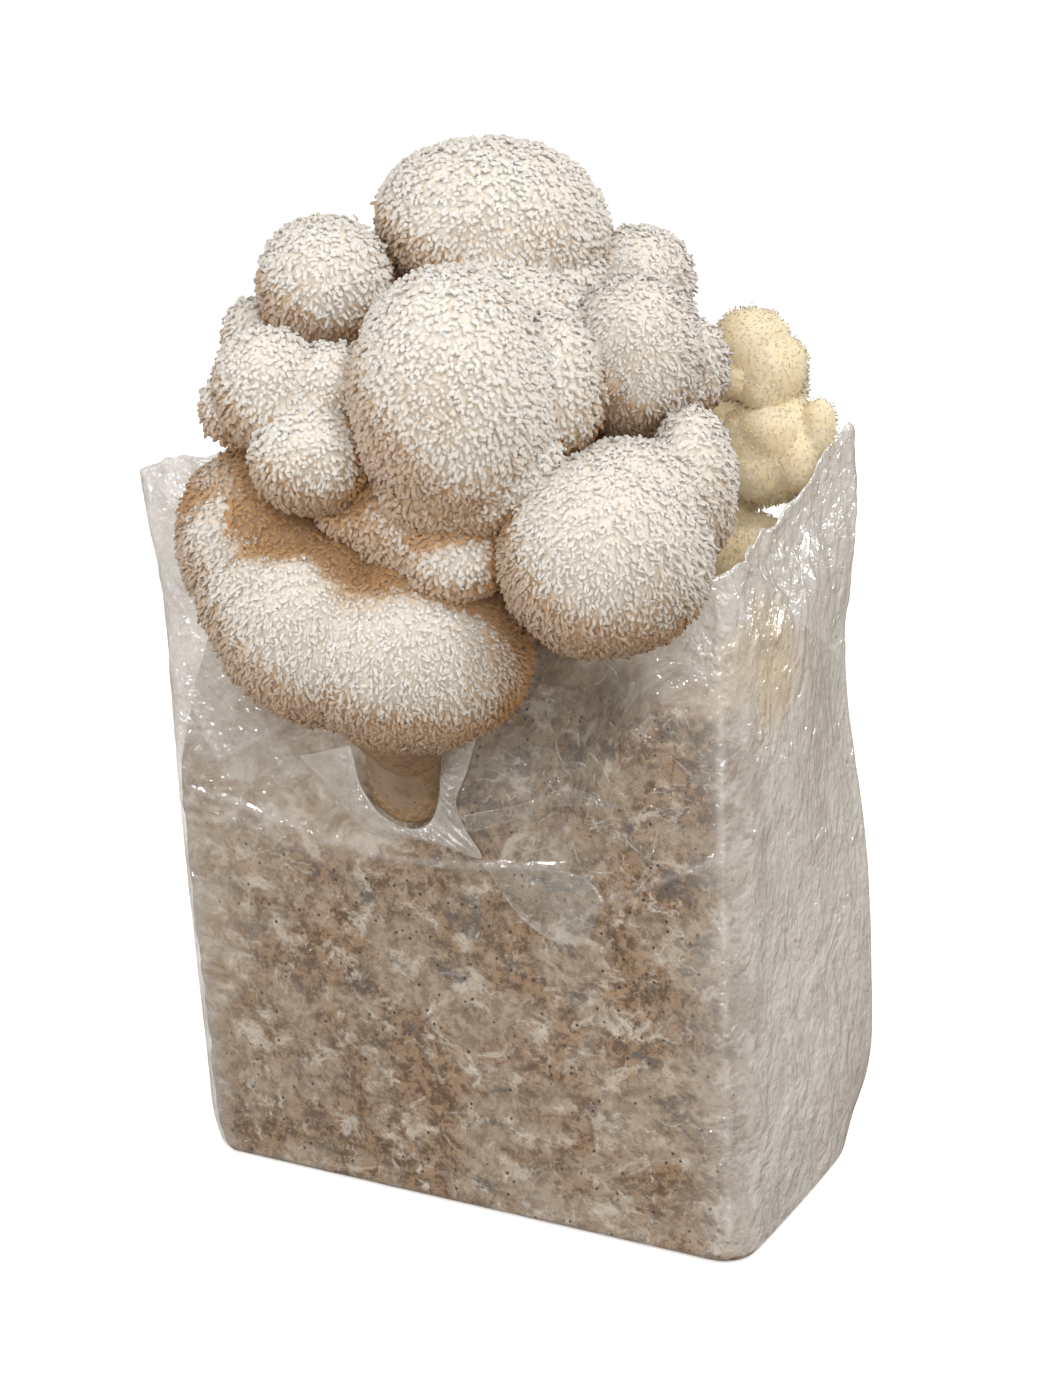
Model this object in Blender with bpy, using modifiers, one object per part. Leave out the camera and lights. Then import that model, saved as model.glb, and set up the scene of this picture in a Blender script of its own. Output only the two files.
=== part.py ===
"""Lion's mane mushroom grow kit: a block of colonised sawdust in a clear film bag.

The bag's top is cut open and its front has an oval hole. The large fruiting body
grows on one stem through the hole and hangs over the front of the bag, and a
smaller one stands in the bag's mouth, on the top of the block at the back right.

Metres, +Z up, +X to the right along the front face, -Y to the front.
The origin is the centre of the flat base.
"""
import bpy
import bmesh
import numpy as np
from math import radians
from mathutils import Matrix

# Bag
BAG_WIDTH = 0.203
BAG_DEPTH = 0.122
FILM_THICKNESS = 0.0008
FOOT_RADIUS = 0.0062
EDGE_RADII = {"front_right": 0.012, "back_right": 0.012, "back_left": 0.008, "front_left": 0.0065}
LEFT_TUCK = 0.004
LEFT_TUCK_HEIGHT = 0.018
LEFT_FLARE = 0.006
GUSSET_DEPTH = 0.005
COLLAR_BULGE = 0.005

# The back right corner of block and bag is drawn in towards the front left
PINCH = (0.0083, 0.0046)
PINCH_HEIGHT = 0.160
PINCH_REACH = 0.055
PINCH_AT_RIM = 0.60

# Cut edge of the bag: place as a share of half the width and half the depth, and height,
# going round from the front left corner
RIM_POINTS = (
    (-1.00, -1.00, 0.243),
    (-0.86, -1.00, 0.226),
    (-0.55, -1.00, 0.209),
    (0.00, -1.00, 0.203),
    (0.50, -1.00, 0.208),
    (0.88, -1.00, 0.220),
    (1.00, -0.75, 0.229),
    (1.00, 0.00, 0.233),
    (1.00, 0.47, 0.241),
    (1.00, 0.77, 0.249),
    (0.88, 1.00, 0.238),
    (0.45, 1.00, 0.224),
    (-0.20, 1.00, 0.219),
    (-0.75, 1.00, 0.227),
    (-1.00, 0.83, 0.240),
    (-1.00, 0.00, 0.240),
)

# Hole in the front film, for the stem
HOLE_CENTRE = (-0.013, -0.061, 0.150)
HOLE_HALF_WIDTH = 0.0150
HOLE_HALF_HEIGHT = 0.0172

# Block
BLOCK_TOP = 0.190
BLOCK_GAP = 0.0008
BLOCK_TOP_DROP = 0.007
BLOCK_TOP_INSET = 0.09
BLOCK_DENT = 0.0012
SHOULDER_SLOPE = 2.0
SHOULDER_BLEND = 0.010
PINCHED_TOP = 0.168

# Height at which the front film leaves the block: x and height
SHOULDER_LINE = (
    (-0.100, 0.140),
    (-0.060, 0.124),
    (-0.010, 0.122),
    (0.040, 0.130),
    (0.065, 0.170),
    (0.082, 0.190),
)

# The main cluster's own frame stands at the hole, turned to face the front right
CLUSTER_TURN = 29.0
CLUSTER_CLEARANCE = 0.0005

# Lobes in that frame, in millimetres: centre, half sizes (across, deep, high), tilt in degrees
MAIN_LOBES = {
    "centre": ((23, -58, 128), (29, 31, 37), 0),
    "centre_right": ((49, -46, 127), (15, 18, 20), 0),
    "centre_chin": ((26, -60, 108), (27, 19, 19), -8),
    "crown": ((35, 6, 169), (36, 31, 26), 8),
    "upper_left": ((-16, -8, 156), (22, 21, 21), 0),
    "upper_left_back": ((-38, 2, 140), (11, 12, 13), 0),
    "left": ((-29, -45, 131), (16, 17, 18), 0),
    "left_knob": ((-42, -36, 125), (8, 9, 10), 0),
    "left_chin": ((-18, -56, 113), (17, 17, 16), 0),
    "left_inner": ((-13, -47, 130), (13, 13, 14), 0),
    "lower_left": ((-37, -28, 82), (24, 26, 29), -10),
    "lower_front": ((5, -47, 53), (37, 27, 29), 10),
    "lower_middle": ((-20, -46, 61), (31, 23, 28), 40),
    "right": ((63, -69, 84), (30, 26, 29), 0),
    "right_tip": ((89, -54, 100), (13, 17, 22), 0),
    "right_brow": ((72, -63, 98), (22, 20, 18), 0),
    "upper_right": ((75, -27, 133), (20, 22, 24), 0),
    "upper_right_back": ((80, 10, 153), (17, 17, 18), 0),
    "right_edge": ((95, -10, 127), (9, 11, 14), 0),
    "between": ((22, -56, 85), (17, 16, 16), 0),
    "between_left": ((-6, -47, 95), (12, 11, 10), 0),
    "heart": ((20, -44, 96), (34, 22, 26), 0),
    "heart_top": ((34, -18, 132), (34, 30, 30), 0),
    "over_mouth": ((36, 2, 93), (36, 21, 28), 0),
    "over_mouth_right": ((69, -6, 98), (22, 22, 25), 0),
    "over_mouth_left": ((-2, 14, 110), (22, 19, 24), 0),
    "in_mouth": ((42, 17, 63), (30, 20, 24), 0),
    "back_left": ((-2, 16, 138), (24, 22, 24), 0),
    "back_middle": ((24, 34, 128), (25, 22, 24), 0),
    "back_right": ((58, 28, 122), (24, 23, 24), 0),
    "back_top": ((48, 32, 152), (24, 21, 22), 0),
}

# The stem in the same frame, from the block to the lower lobes: centre and radius
STEM = (
    (3, 6, 0, 12.2),
    (-4, -8, 0, 12.2),
    (-1, -22, 14, 14.0),
    (-1, -34, 36, 20.0),
)
STEM_STEPS = 10

# Lobes of the second cluster in the bag's frame, in millimetres
SECOND_LOBES = {
    "top": ((70, 33, 272), (14, 14, 14), 0),
    "top_right": ((79, 34, 268), (7, 8, 8), 0),
    "middle": ((72, 33, 242), (16, 17, 19), 0),
    "middle_top": ((80, 34, 253), (8, 9, 10), 0),
    "right": ((87, 33, 248), (6, 7, 10), 0),
    "left": ((55, 35, 252), (14, 14, 16), 0),
    "back": ((66, 46, 260), (15, 13, 16), 0),
    "back_low": ((58, 42, 234), (15, 13, 17), 0),
    "left_low": ((50, 31, 224), (14, 14, 16), 0),
    "low": ((67, 31, 216), (18, 15, 15), 0),
    "low_right": ((80, 29, 208), (8, 9, 11), 0),
    "foot": ((62, 33, 198), (21, 15, 14), 0),
}

# Mesh resolution
SIDE_STEPS = 8
END_STEPS = 5
CORNER_STEPS = 4
FOOT_STEPS = 3
BAG_WALL_STEPS = 14
BLOCK_WALL_STEPS = 7
CAP_SHARES = (0.78, 0.54, 0.30, 0.12)
LOBE_FINENESS = 3
CLUSTER_DETAIL = 0.34


def smooth(start, end, value):
    """0 up to start, 1 from end, and a smooth S between them."""
    t = np.clip((value - start) / (end - start), 0.0, 1.0)
    return t * t * (3 - 2 * t)


def soft_minimum(first, second, blend):
    """The smaller of two heights, rounded over the blend where they meet."""
    return (first + second - np.sqrt((first - second) ** 2 + blend ** 2)) / 2


def outline():
    """The bag's outside in plan, going round from the front left: points and outward normals."""
    sides = {"front_right": (1, -1), "back_right": (1, 1),
             "back_left": (-1, 1), "front_left": (-1, -1)}
    arcs = []
    for index, (corner, side) in enumerate(sides.items()):
        radius = EDGE_RADII[corner]
        centre = np.array(side) * (BAG_WIDTH / 2 - radius, BAG_DEPTH / 2 - radius)
        angles = radians(90 * index - 90) + np.linspace(0, radians(90), CORNER_STEPS + 1)
        normals = np.column_stack((np.cos(angles), np.sin(angles)))
        arcs.append((centre + normals * radius, normals))
    points = []
    all_normals = []
    for index, (arc, normals) in enumerate(arcs):
        straight_start = arcs[index - 1][0][-1]
        steps = SIDE_STEPS if index % 2 == 0 else END_STEPS
        shares = np.arange(1, steps)[:, None] / steps
        points += [straight_start + shares * (arc[0] - straight_start), arc]
        all_normals += [np.repeat(normals[:1], steps - 1, axis=0), normals]
    return np.concatenate(points), np.concatenate(all_normals)


def lean(points, height):
    """How block and bag leave the upright: the drawn-in back right corner and the left
    end's tuck at the foot, as an offset in plan for each point."""
    corner = smooth(0.020, 0.095, points[:, 0]) * smooth(-0.020, 0.055, points[:, 1])
    waist = np.exp(-((height - PINCH_HEIGHT) / PINCH_REACH) ** 2)
    amount = corner * np.maximum(waist, PINCH_AT_RIM * smooth(0.170, 0.200, height))
    offset = -amount[:, None] * np.array(PINCH)
    low = np.clip(1 - height / LEFT_TUCK_HEIGHT, 0, 1) ** 2
    offset[:, 0] += LEFT_TUCK * low * smooth(0.020, -0.095, points[:, 0])
    return offset


def rim_height(points):
    """Height of the bag's cut edge over each point of the outline."""
    given = np.array(RIM_POINTS)
    given_angle = np.arctan2(given[:, 1], given[:, 0])
    angle = np.arctan2(points[:, 1] / BAG_DEPTH, points[:, 0] / BAG_WIDTH)
    return np.interp(angle, given_angle, given[:, 2], period=2 * np.pi)


def film_swell(points, normals, height):
    """How far the film stands out of the plain outline at a height, inward being negative."""
    x = points[:, 0]
    y = points[:, 1]
    flare = LEFT_FLARE * smooth(0.150, 0.240, height) * smooth(-0.040, -0.096, x)
    flare = flare * (np.abs(normals[:, 0]) + 0.4 * np.maximum(-normals[:, 1], 0))
    across = np.clip(1 - (2 * y / BAG_DEPTH) ** 2, 0, 1)
    gusset = GUSSET_DEPTH * across * np.abs(normals[:, 0]) * smooth(0.196, 0.225, height)
    beside = (x - HOLE_CENTRE[0]) / 0.030
    above = (height - HOLE_CENTRE[2]) / 0.030
    collar = COLLAR_BULGE * np.exp(-beside ** 2 - above ** 2) * np.maximum(-normals[:, 1], 0)
    return flare - gusset + collar


def block_height(points):
    """Height of the block's top: level, with a shoulder sloping down to the front left."""
    line = np.array(SHOULDER_LINE)
    front = np.interp(points[:, 0], line[:, 0], line[:, 1])
    shoulder = front + SHOULDER_SLOPE * (points[:, 1] + BAG_DEPTH / 2)
    corner = smooth(0.055, 0.100, points[:, 0]) * smooth(0.010, 0.060, points[:, 1])
    level = BLOCK_TOP - (BLOCK_TOP - PINCHED_TOP) * corner
    return soft_minimum(shoulder, level, SHOULDER_BLEND)


def block_dent(points, height):
    """Shallow unevenness of the colonised sawdust, always inwards."""
    wave = np.sin(points[:, 0] * 130 + height * 71) * np.sin(points[:, 1] * 110 + height * 93 + 1)
    return BLOCK_DENT * (0.5 + 0.5 * wave)


def loft(name, rings, pole=None):
    """A surface through rings of equal length, filled at the first, and at the last by a pole."""
    mesh = bpy.data.meshes.new(name)
    shape = bmesh.new()
    rows = [[shape.verts.new(point) for point in ring] for ring in rings]
    count = len(rings[0])
    shape.faces.new(rows[0][::-1])
    for lower, upper in zip(rows, rows[1:]):
        for index in range(count):
            after = (index + 1) % count
            shape.faces.new((lower[index], lower[after], upper[after], upper[index]))
    if pole is not None:
        tip = shape.verts.new(pole)
        for index in range(count):
            shape.faces.new((rows[-1][index], rows[-1][(index + 1) % count], tip))
    bmesh.ops.triangulate(shape, faces=shape.faces)
    shape.to_mesh(mesh)
    shape.free()
    return bpy.data.objects.new(name, mesh)


def ring_at(plan, height):
    """A ring over points in plan, with one height or one for each point."""
    return np.column_stack((plan, np.broadcast_to(height, len(plan))))


def foot_rings(points, normals, inset):
    """Rings round the bottom edge, from the flat base up to the wall."""
    radius = FOOT_RADIUS - inset
    rings = []
    for step in range(FOOT_STEPS):
        angle = radians(90 * step / FOOT_STEPS)
        inward = inset + radius * (1 - np.sin(angle))
        height = inset + radius * (1 - np.cos(angle))
        rings.append(ring_at(points - normals * inward + lean(points, height), height))
    return rings


def make_bag(hole_cutter):
    """The film bag: an open shell of even thickness, with the stem's hole cut in its front."""
    points, normals = outline()
    rings = foot_rings(points, normals, 0.0)
    rim = rim_height(points)
    for share in np.linspace(0, 1, BAG_WALL_STEPS + 1):
        height = FOOT_RADIUS + share * (rim - FOOT_RADIUS)
        swell = film_swell(points, normals, height)
        rings.append(ring_at(points + normals * swell[:, None] + lean(points, height), height))
    bag = loft("grow_bag", rings)
    wall = bag.modifiers.new("film", "SOLIDIFY")
    wall.thickness = FILM_THICKNESS
    wall.offset = -1
    hole = bag.modifiers.new("stem_hole", "BOOLEAN")
    hole.operation = "DIFFERENCE"
    hole.object = hole_cutter
    hole.solver = "EXACT"
    return bag


def make_block():
    """The block of sawdust bound by mycelium, slumped at its front left shoulder."""
    points, normals = outline()
    inset = FILM_THICKNESS + BLOCK_GAP
    rings = foot_rings(points, normals, inset)
    top = block_height(points - normals * inset) - BLOCK_TOP_DROP
    for share in np.linspace(0, 1, BLOCK_WALL_STEPS + 1):
        height = FOOT_RADIUS + share * (top - FOOT_RADIUS)
        inward = inset + block_dent(points, height) * smooth(0.0, 0.25, share)
        plan = points - normals * inward[:, None] + lean(points, height)
        rings.append(ring_at(plan, height))
    for angle in (radians(30), radians(60), radians(90)):
        inner = plan * (1 - BLOCK_TOP_INSET * (1 - np.cos(angle)))
        height = block_height(inner) - BLOCK_TOP_DROP * (1 - np.sin(angle))
        rings.append(ring_at(inner, height))
    for share in CAP_SHARES:
        rings.append(ring_at(inner * share, block_height(inner * share)))
    pole = (0.0, 0.0, block_height(np.zeros((1, 2)))[0])
    return loft("substrate_block", rings, pole)


def lobe_object(name, lobe):
    """One rounded lobe: a sphere stretched to its half sizes, tilted in its XZ plane."""
    centre, half_size, tilt = lobe
    place = Matrix.Translation([value / 1000 for value in centre])
    turn = Matrix.Rotation(radians(tilt), 4, "Y")
    stretch = Matrix.Diagonal([value / 1000 for value in half_size] + [1])
    mesh = bpy.data.meshes.new(name)
    shape = bmesh.new()
    bmesh.ops.create_icosphere(
        shape, subdivisions=LOBE_FINENESS, radius=1.0, matrix=place @ turn @ stretch)
    shape.to_mesh(mesh)
    shape.free()
    return bpy.data.objects.new(name, mesh)


def add_guide(thing, group):
    """Puts a cutter or a guide, which isn't part of the kit, in its collection."""
    group.objects.link(thing)
    thing.hide_render = True
    thing.display_type = "WIRE"


def stem_lobes():
    """Balls along the stem's path, growing towards the lobes that it carries."""
    given = np.array(STEM)
    at = np.linspace(0, len(STEM) - 1, STEM_STEPS)
    columns = [np.interp(at, np.arange(len(STEM)), given[:, axis]) for axis in range(4)]
    return {f"stem_{index}": ((x, y, z), (radius, radius, radius), 0)
            for index, (x, y, z, radius) in enumerate(zip(*columns))}


def make_cluster(name, lobes, frame, seat_cutter, guides):
    """A fruiting body: its lobes grown together, and cut back where it meets the block."""
    lobe_group = bpy.data.collections.new(name + "_lobes")
    guides.children.link(lobe_group)
    first, *others = lobes
    for lobe_name in others:
        lobe = lobe_object(name + "_" + lobe_name, lobes[lobe_name])
        lobe.matrix_world = frame
        add_guide(lobe, lobe_group)
    cluster = lobe_object(name, lobes[first])
    cluster.matrix_world = frame
    grown = cluster.modifiers.new("grown_together", "BOOLEAN")
    grown.operation = "UNION"
    grown.operand_type = "COLLECTION"
    grown.collection = lobe_group
    grown.solver = "EXACT"
    coarse = cluster.modifiers.new("coarse_faces", "DECIMATE")
    coarse.ratio = CLUSTER_DETAIL
    seat = cluster.modifiers.new("seat_on_block", "BOOLEAN")
    seat.operation = "DIFFERENCE"
    seat.object = seat_cutter
    seat.solver = "EXACT"
    return cluster


def make_hole_cutter():
    """An oval bar through the front film."""
    mesh = bpy.data.meshes.new("hole_cutter")
    shape = bmesh.new()
    lie_down = Matrix.Rotation(radians(90), 4, "X")
    size = Matrix.Diagonal((HOLE_HALF_WIDTH, 1.0, HOLE_HALF_HEIGHT, 1.0))
    bmesh.ops.create_cone(
        shape, cap_ends=True, segments=28, radius1=1.0, radius2=1.0, depth=0.030,
        matrix=Matrix.Translation(HOLE_CENTRE) @ size @ lie_down)
    shape.to_mesh(mesh)
    shape.free()
    return bpy.data.objects.new("hole_cutter", mesh)


def make_seat_cutter(block):
    """The block grown by the clearance that a cluster keeps to it."""
    cutter = bpy.data.objects.new("seat_cutter", block.data)
    grow = cutter.modifiers.new("clearance", "DISPLACE")
    grow.strength = CLUSTER_CLEARANCE
    grow.mid_level = 0.0
    return cutter


def add_finish(piece, name, colour, roughness, alpha=1.0):
    """Gives a piece a plain material with its main colour."""
    material = bpy.data.materials.new(name)
    material.use_nodes = True
    shader = material.node_tree.nodes["Principled BSDF"]
    shader.inputs["Base Color"].default_value = (*colour, 1.0)
    shader.inputs["Roughness"].default_value = roughness
    shader.inputs["Metallic"].default_value = 0.0
    shader.inputs["Alpha"].default_value = alpha
    piece.data.materials.append(material)


def main():
    for old in list(bpy.data.objects):
        bpy.data.objects.remove(old, do_unlink=True)
    kit = bpy.data.collections.new("lions_mane_grow_kit")
    guides = bpy.data.collections.new("cutters")
    bpy.context.scene.collection.children.link(kit)
    bpy.context.scene.collection.children.link(guides)

    hole_cutter = make_hole_cutter()
    add_guide(hole_cutter, guides)
    bag = make_bag(hole_cutter)
    block = make_block()
    seat_cutter = make_seat_cutter(block)
    add_guide(seat_cutter, guides)

    at_hole = Matrix.Translation(HOLE_CENTRE) @ Matrix.Rotation(radians(CLUSTER_TURN), 4, "Z")
    main_cluster = make_cluster(
        "main_cluster", {**MAIN_LOBES, **stem_lobes()}, at_hole, seat_cutter, guides)
    second_cluster = make_cluster(
        "second_cluster", SECOND_LOBES, Matrix.Identity(4), seat_cutter, guides)

    add_finish(block, "colonised_sawdust", (0.34, 0.25, 0.17), 0.85)
    add_finish(bag, "clear_film", (0.74, 0.72, 0.69), 0.25, 0.4)
    add_finish(main_cluster, "white_flesh", (0.78, 0.70, 0.61), 0.80)
    add_finish(second_cluster, "cream_flesh", (0.82, 0.73, 0.53), 0.80)
    for piece in (block, bag, main_cluster, second_cluster):
        kit.objects.link(piece)
        piece.data.shade_smooth()


main()
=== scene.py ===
"""Looks of a lion's mane mushroom grow kit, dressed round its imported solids.

A block of colonised sawdust stands in a clear film bag whose top is cut open. A large
fruiting body grows on one stem through a hole in the front film, and a smaller, creamier
one stands on the block at the back right. Metres, +Z up, +X to the right, -Y to the front.
"""
import bpy
import numpy as np
from mathutils import Matrix, Vector


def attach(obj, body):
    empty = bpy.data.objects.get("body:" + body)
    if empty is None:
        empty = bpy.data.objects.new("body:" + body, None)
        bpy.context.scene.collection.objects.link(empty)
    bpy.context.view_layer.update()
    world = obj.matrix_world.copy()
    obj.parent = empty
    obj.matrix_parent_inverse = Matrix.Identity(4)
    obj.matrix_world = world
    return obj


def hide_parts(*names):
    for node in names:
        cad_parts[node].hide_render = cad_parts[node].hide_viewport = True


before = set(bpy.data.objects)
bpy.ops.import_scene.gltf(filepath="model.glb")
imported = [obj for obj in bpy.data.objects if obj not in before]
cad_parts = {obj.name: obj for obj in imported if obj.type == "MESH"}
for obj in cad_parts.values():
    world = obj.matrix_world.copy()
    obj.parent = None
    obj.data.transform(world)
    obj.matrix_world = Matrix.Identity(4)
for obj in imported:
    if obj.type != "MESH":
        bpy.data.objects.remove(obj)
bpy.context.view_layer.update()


# Substrate block
# Hardwood sawdust and grain, pressed into the bag and bound into one block by white mycelium.
# It has the bag's own plan, and at the front left its shoulder has slumped away from the film.

BAG_WIDTH = 0.203
BAG_DEPTH = 0.122
FOOT_RADIUS = 0.0040
CORNERS = ((1, -1, 0.012), (1, 1, 0.012), (-1, 1, 0.008), (-1, -1, 0.0065))
LEFT_TUCK = 0.0045
LEFT_TUCK_HEIGHT = 0.018
LEFT_BELLY = 0.0043
BELLY_HEIGHT = 0.145
BELLY_REACH = 0.120
CORNER_TUCK = (0.009, 0.005)
CORNER_TUCK_HEIGHT = 0.036
END_BULGE = 0.0028
END_BULGE_HEIGHT = 0.035
END_BULGE_REACH = 0.035
END_BULGE_HALF_DEPTH = 0.055
PINCH = (0.0076, 0.0046)
PINCH_HEIGHT = 0.172
PINCH_REACH = 0.055
PINCH_AT_RIM = 0.50
BLOCK_INSET = 0.0004
BLOCK_TOP = 0.190
BLOCK_TOP_DROP = 0.007
BLOCK_TOP_INSET = 0.09
PINCHED_TOP = 0.168
SHOULDER_SLOPE = 2.0
SHOULDER_BLEND = 0.010
SHOULDER_LINE = ((-0.100, 0.140), (-0.060, 0.124), (-0.010, 0.122),
                 (0.040, 0.130), (0.065, 0.170), (0.082, 0.190))


def smooth(start, end, value):
    """0 up to start, 1 from end, and between them the S of 3t^2 - 2t^3."""
    t = np.clip((value - start) / (end - start), 0.0, 1.0)
    return t * t * (3 - 2 * t)


def plan(share):
    """Points on the bag's plan and its outward normals, at shares of the way round.
    The plan is a rectangle with a quarter circle of its own radius at each corner, walked
    counterclockwise, by length, from the front right corner."""
    quarter = np.linspace(0, np.pi / 2, 13)
    points, normals = [], []
    for index, (side_x, side_y, radius) in enumerate(CORNERS):
        angle = quarter + (index - 1) * np.pi / 2
        normal = np.stack((np.cos(angle), np.sin(angle)), axis=1)
        centre = np.array((side_x * (BAG_WIDTH / 2 - radius), side_y * (BAG_DEPTH / 2 - radius)))
        points.append(centre + radius * normal)
        normals.append(normal)
    points = np.concatenate(points + [points[0][:1]])
    normals = np.concatenate(normals + [normals[0][:1]])
    length = np.append(0, np.cumsum(np.linalg.norm(np.diff(points, axis=0), axis=1)))
    at = np.asarray(share) * length[-1]
    return (np.stack([np.interp(at, length, points[:, axis]) for axis in (0, 1)], axis=-1),
            np.stack([np.interp(at, length, normals[:, axis]) for axis in (0, 1)], axis=-1))


def lean(points, height):
    """How block and bag leave the upright, with each swell exp(-((height - middle) / reach)^2):
    the back right corner is drawn in round a waist and tucked in at the foot, the left end is
    tucked in at the foot and bellied out above it, and the right end bulges low down."""
    x, y = points[..., 0], points[..., 1]
    corner = smooth(0.020, 0.095, x) * smooth(-0.020, 0.055, y)
    waist = np.exp(-((height - PINCH_HEIGHT) / PINCH_REACH) ** 2)
    pinch = corner * np.maximum(waist, PINCH_AT_RIM * smooth(0.170, 0.200, height))
    left_tuck = np.clip(1 - height / LEFT_TUCK_HEIGHT, 0, 1) ** 2 * smooth(0.020, -0.095, x)
    belly = np.exp(-((height - BELLY_HEIGHT) / BELLY_REACH) ** 2) * smooth(-0.060, -0.100, x)
    tuck = smooth(0.070, 0.100, x) * smooth(0.015, 0.060, y)
    tuck = tuck * np.clip(1 - height / CORNER_TUCK_HEIGHT, 0, 1) ** 2
    bulge = smooth(0.080, 0.100, x) * np.clip(1 - (y / END_BULGE_HALF_DEPTH) ** 2, 0, 1)
    bulge = bulge * np.exp(-((height - END_BULGE_HEIGHT) / END_BULGE_REACH) ** 2)
    across = LEFT_TUCK * left_tuck - LEFT_BELLY * belly + END_BULGE * bulge
    return np.stack((across - pinch * PINCH[0] - tuck * CORNER_TUCK[0],
                     -pinch * PINCH[1] - tuck * CORNER_TUCK[1]), axis=-1)


def block_height(points):
    """Height of the block's top: level, with a slope down to the shoulder line at the front,
    joined by a rounded minimum of the two."""
    line = np.array(SHOULDER_LINE)
    front = np.interp(points[..., 0], line[:, 0], line[:, 1])
    shoulder = front + SHOULDER_SLOPE * (points[..., 1] + BAG_DEPTH / 2)
    corner = smooth(0.055, 0.100, points[..., 0]) * smooth(0.010, 0.060, points[..., 1])
    level = BLOCK_TOP - (BLOCK_TOP - PINCHED_TOP) * corner
    return (shoulder + level - np.sqrt((shoulder - level) ** 2 + SHOULDER_BLEND ** 2)) / 2


def ripple(points, size, seed, waves=24):
    """A smooth random field, mostly within -1 to 1, with lumps of the given size: the sum
    of sine waves in random directions, 1.4 to 3 lump sizes long."""
    chance = np.random.default_rng(seed)
    heading = chance.normal(size=(3, waves))
    heading *= 2 * np.pi / (size * chance.uniform(1.4, 3.0, waves) * np.linalg.norm(heading, axis=0))
    phase = chance.uniform(0, 2 * np.pi, waves)
    return np.sin(points @ heading + phase).sum(axis=-1) / (2 * waves) ** 0.5


def up(plan_points, height):
    """Points in plan, raised to a height each."""
    height = np.broadcast_to(height, plan_points.shape[:-1])
    return np.concatenate((plan_points, height[..., None]), axis=-1)


def skin(name, rows, first_pole=None, last_pole=None):
    """A mesh over rows of points that run round: quads between neighbouring rows, the last
    column joined to the first, and an end closed by triangles to its pole."""
    index = np.arange(rows.shape[0] * rows.shape[1]).reshape(rows.shape[:2])
    after = np.roll(index, -1, axis=1)
    quads = np.stack((index[:-1], after[:-1], after[1:], index[1:]), axis=-1)
    faces = quads.reshape(-1, 4).tolist()
    points = rows.reshape(-1, 3)
    if first_pole is not None:
        hub = np.full(rows.shape[1], len(points))
        faces += np.stack((after[0], index[0], hub), axis=-1).tolist()
        points = np.vstack((points, first_pole))
    if last_pole is not None:
        hub = np.full(rows.shape[1], len(points))
        faces += np.stack((index[-1], after[-1], hub), axis=-1).tolist()
        points = np.vstack((points, last_pole))
    mesh = bpy.data.meshes.new(name)
    mesh.from_pydata(points, [], faces)
    mesh.shade_smooth()
    thing = bpy.data.objects.new(name, mesh)
    bpy.context.scene.collection.objects.link(thing)
    return thing


def make_block_mesh():
    """The block as rows over (height, way round): the foot's quarter circle, the wall, the
    top edge's quarter circle and rings that shrink to the middle. Relief goes inwards."""
    points, normals = plan(np.linspace(0, 1, 430, endpoint=False))
    rows = []
    for angle in np.linspace(0, np.pi / 2, 6)[:-1]:
        radius = FOOT_RADIUS - BLOCK_INSET
        inward = BLOCK_INSET + radius * (1 - np.sin(angle))
        height = BLOCK_INSET + radius * (1 - np.cos(angle))
        rows.append(up(points - normals * inward + lean(points, height), height))
    top = block_height(points - normals * BLOCK_INSET) - BLOCK_TOP_DROP
    for share in np.linspace(0, 1, 118):
        height = FOOT_RADIUS + share * (top - FOOT_RADIUS)
        inner = points - normals * BLOCK_INSET + lean(points, height)
        rows.append(up(inner, height))
    for angle in np.linspace(0, np.pi / 2, 8)[1:]:
        ring = inner * (1 - BLOCK_TOP_INSET * (1 - np.cos(angle)))
        rows.append(up(ring, block_height(ring) - BLOCK_TOP_DROP * (1 - np.sin(angle))))
    for share in np.linspace(1, 0.02, 42)[1:]:
        rows.append(up(ring * share, block_height(ring * share)))
    rows = np.array(rows)
    outward = np.cross(np.roll(rows, -1, axis=1) - np.roll(rows, 1, axis=1), np.gradient(rows, axis=0))
    outward /= np.linalg.norm(outward, axis=-1, keepdims=True)
    lumps = 0.0004 * (1 + ripple(rows, 0.020, 3)) + 0.00035 * (1 + ripple(rows, 0.0065, 4))
    crumbs = 0.00025 * (1 + ripple(rows, 0.0035, 5))
    relief = np.maximum(lumps + crumbs, 0) * smooth(0.0, 0.006, rows[..., 2])
    rows = rows - outward * relief[..., None]
    return skin("colonised_block", rows, rows[0].mean(axis=0), rows[-1].mean(axis=0))


def new_material(name):
    """A material with its Principled shader, its node tree and its Object coordinates."""
    material = bpy.data.materials.new(name)
    material.use_nodes = True
    tree = material.node_tree
    shader = tree.nodes["Principled BSDF"]
    place = tree.nodes.new("ShaderNodeTexCoord").outputs["Object"]
    return material, tree, shader, place


def add_node(tree, kind, settings=(), **inputs):
    """A shader node, with its settings made and its inputs set or linked by name."""
    node = tree.nodes.new(kind)
    for name, value in dict(settings).items():
        setattr(node, name, value)
    for name, value in inputs.items():
        socket = node.inputs[int(name[1:])] if name[1:].isdigit() else node.inputs[name.replace("_", " ")]
        if isinstance(value, bpy.types.NodeSocket):
            tree.links.new(value, socket)
        else:
            socket.default_value = value
    return node


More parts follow.
